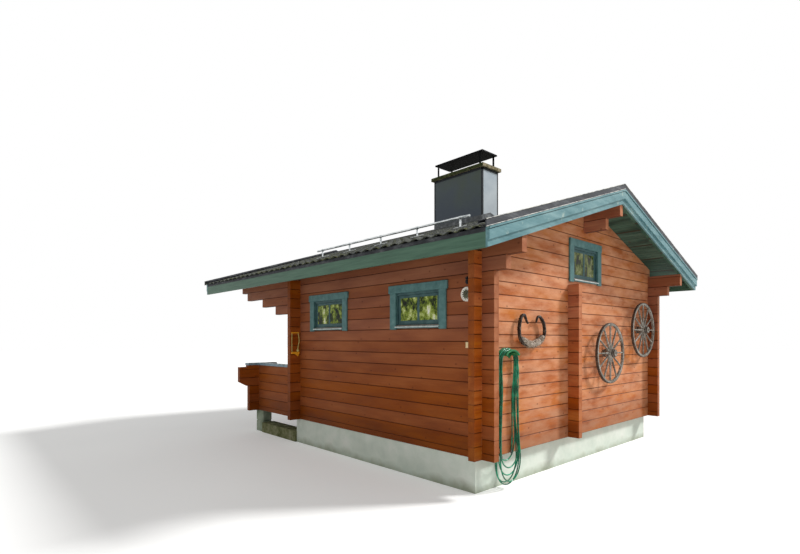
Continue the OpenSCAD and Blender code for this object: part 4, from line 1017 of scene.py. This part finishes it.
wheels = make_piece("cart_wheels", woodwork + ironwork, grey_finish, ["wagon_wheels"],
    soften=40)
wheels.data.materials.append(iron_finish)
wheels.data.polygons.foreach_set("material_index",
    (np.arange(len(wheels.data.polygons)) >= wood_faces).astype(int))

# Thermometer: a round outdoor dial. The case is white plastic, the scale a dark disc with a toothed
# edge, one tooth to a degree mark, and a thin pointer.
dial_low, dial_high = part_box("thermometer")
dial = np.array([(dial_low.x + dial_high.x) / 2, dial_high.y, (dial_low.z + dial_high.z) / 2])
white_finish = mottled("white_dial_plastic", 0.35, 0.4, {0.3: "#f2eee2", 0.6: "#fffcf2"}, 24.0, 3.0)
rim = [(0, 0.0915), (0.012, 0.092), (0.023, 0.0905), (0.0275, 0.086), (0.0275, 0.08), (0.0235, 0.076),
    (0.0235, 0.068), (0, 0.068)]
make_piece("thermometer_case", [turned(rim, 64, dial, (0, -1, 0), hoop=True),
    turned([(0.001, 0.072), (0.023, 0.072), (0.0232, 0.071)], 64, dial, (0, -1, 0))], white_finish,
    ["thermometer"], soften=35)
scale_finish = mottled("printed_dial_face", 0.5, 0.3, {0.35: "#4c4c38", 0.65: "#64664f"}, 14.0, 3.0)
a = np.arange(84) * 2 * np.pi / 84
r = np.where(np.arange(84) % 6 < 3, 0.069, 0.05)
out = np.array([0, -1, 0])
disc = swept([dial + 0.0225 * out, dial + 0.024 * out], np.c_[r * np.cos(a), r * np.sin(a)])
hand = np.array([(-0.0035, -0.014), (0.0035, -0.014), (0.002, 0.048), (0, 0.054), (-0.002, 0.048)])
turn = math.radians(-35)
hand = hand @ np.array([(math.cos(turn), math.sin(turn)), (-math.sin(turn), math.cos(turn))])
hands = swept([dial + 0.0255 * out, dial + 0.0263 * out], hand)
knob = turned([(0.0235, 0.006), (0.027, 0.006), (0.028, 0.004)], 16, dial, out)
make_piece("thermometer_scale", disc, scale_finish, ["thermometer"])
make_piece("thermometer_hand", [hands, knob], trim_finish, ["thermometer"])

# Wall fittings: an ivory cover plate with two screws, and a dark bracket with a slot over the dial
plate = [boards([(2.875, -half_width - 0.009, 1.802)], [(2.925, -half_width, 1.878)], 0.003)]
plate += [turned([(0, 0.0045), (0.002, 0.0045), (0.003, 0.0025)], 10, (2.9, -half_width - 0.0085, z),
    (0, -1, 0)) for z in (1.812, 1.868)]
ivory_finish = mottled("ivory_plate_plastic", 0.35, 0.3, {0.3: "#f3d9a2", 0.65: "#fde6b6"}, 30.0, 3.0)
make_piece("cover_plate", plate, ivory_finish, ["wall_fittings"])
bracket = boards([(2.884, -half_width - 0.006, 2.6), (2.888, -half_width - 0.03, 2.612),
    (2.888, -half_width - 0.03, 2.66)], [(2.924, -half_width, 2.697), (2.92, -half_width - 0.004, 2.65),
    (2.92, -half_width - 0.004, 2.686)], 0.003)
make_piece("wall_bracket", bracket, trim_finish, ["wall_fittings"])

# Yellow handle: a frame of painted steel bar beside the porch corner, with a thin stay, a bowed
# grip of grey cord over wire, and a wooden knob on the hooked foot.
handle_low, handle_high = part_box("yellow_handle")
handle_x = (handle_low.x + handle_high.x) / 2
yellow_finish = mottled("orange_yellow_paint", 0.4, 0.5, {0.3: "#dc9312", 0.5: "#ffb11d",
    0.75: "#ffc648"}, 40.0, 5.0)
corner = np.array([handle_x, handle_low.y, handle_low.z])
foot = np.array([(0, 44), (60, 42), (95, 30), (116, 3), (128, 0), (150, 34), (157, 60), (156, 84),
    (0, 78)]) / 1000
frame_bars = [swept(corner + [(0, 0.001, 0.429), (0, 0.15, 0.429)], rounded(0.022, 0.026, 0.006),
    (1, 0, 0), (0, 0, 1)), swept(corner + [(-0.013, 0, 0), (0.013, 0, 0)], foot, (0, 0, 1), (0, 1, 0))]
make_piece("handle_bars", frame_bars, yellow_finish, ["yellow_handle"], soften=40)
cord_finish, add, point = start_finish("greyed_cord", 0.85, 0.2)
twist = add("TexWave", point, Scale=60.0, Distortion=1.0, bands_direction="DIAGONAL")
add("ValToRGB", twist, stops={0.2: "#c2b158", 0.8: "#efe19a"}, to="Base Color")
add("Bump", Strength=0.6, Distance=0.001, Height=twist, to="Normal")
circle = 0.0065 * np.c_[np.cos(np.arange(12) * np.pi / 6), np.sin(np.arange(12) * np.pi / 6)]
stay = [(0, 0.008, 0.07), (0, 0.008, 0.25), (0, 0.008, 0.425)]
grip = [(0, 0.128, 0.075), (0, 0.132, 0.15), (0, 0.15, 0.235), (0, 0.158, 0.3), (0, 0.148, 0.365),
    (0, 0.134, 0.425)]
grips = []
for knots, size in ((stay, 0.9), (grip, 1.15)):
    line = smooth_line(corner + np.array(knots), 0.012)
    grips.append(swept(line, size * circle, square_to(line)))
a = np.linspace(-1.45, 1.45, 11)
grips.append(turned(np.c_[0.027 * np.sin(a), 0.024 * np.cos(a)], 20, corner + (0, 0.13, 0.108),
    (0, 0, 1)))
make_piece("handle_grip", grips, cord_finish, ["yellow_handle"], soften=40)

# Studio: a pale floor, one soft lamp far off beyond the gable's back corner, and a pale room
# round it all. What the camera, metal and glass see of the room is white.
floor_finish, add, point = start_finish("studio_floor", 1.0, 0.0,
    Emission_Color=surface_colour("#ffffff"))
add("ValToRGB", add("TexNoise", point, Scale=0.4), stops={0.3: "#f0f0ee", 0.7: "#f4f4f2"},
    to="Base Color")
add("MULTIPLY", add("LightPath", out="Is Camera Ray"), 0.22, to="Emission Strength")
far = 90.0
mesh = bpy.data.meshes.new("studio_floor")
mesh.from_pydata([(-far, -far, 0), (far, -far, 0), (far, far, 0), (-far, far, 0)], [], [(0, 1, 2, 3)])
mesh.materials.append(floor_finish)
placed("studio_floor", mesh)

lamp = bpy.data.lights.new("soft_lamp", "SUN")
lamp.angle = math.radians(9)
lamp.energy = 3.0
placed("soft_lamp", lamp).rotation_euler = (math.radians(52), 0, math.atan2(0.66, 0.42) + math.pi / 2)

world = bpy.data.worlds.new("studio_room")
world.use_nodes = True
world.node_tree.nodes.clear()
add = functools.partial(add_node, world.node_tree)
rays = add("LightPath", out=None).outputs
seen = add("MAXIMUM", rays["Is Camera Ray"], add("MAXIMUM", rays["Is Glossy Ray"],
    rays["Is Transmission Ray"]))
strength = add("MapRange", seen, 0.0, 1.0, 0.46, 1.0)
room = add("Background", Color="#ffffff", Strength=strength)
add("OutputWorld", Surface=room, out=None)
bpy.context.scene.world = world
bpy.context.scene.view_settings.view_transform = "Standard"
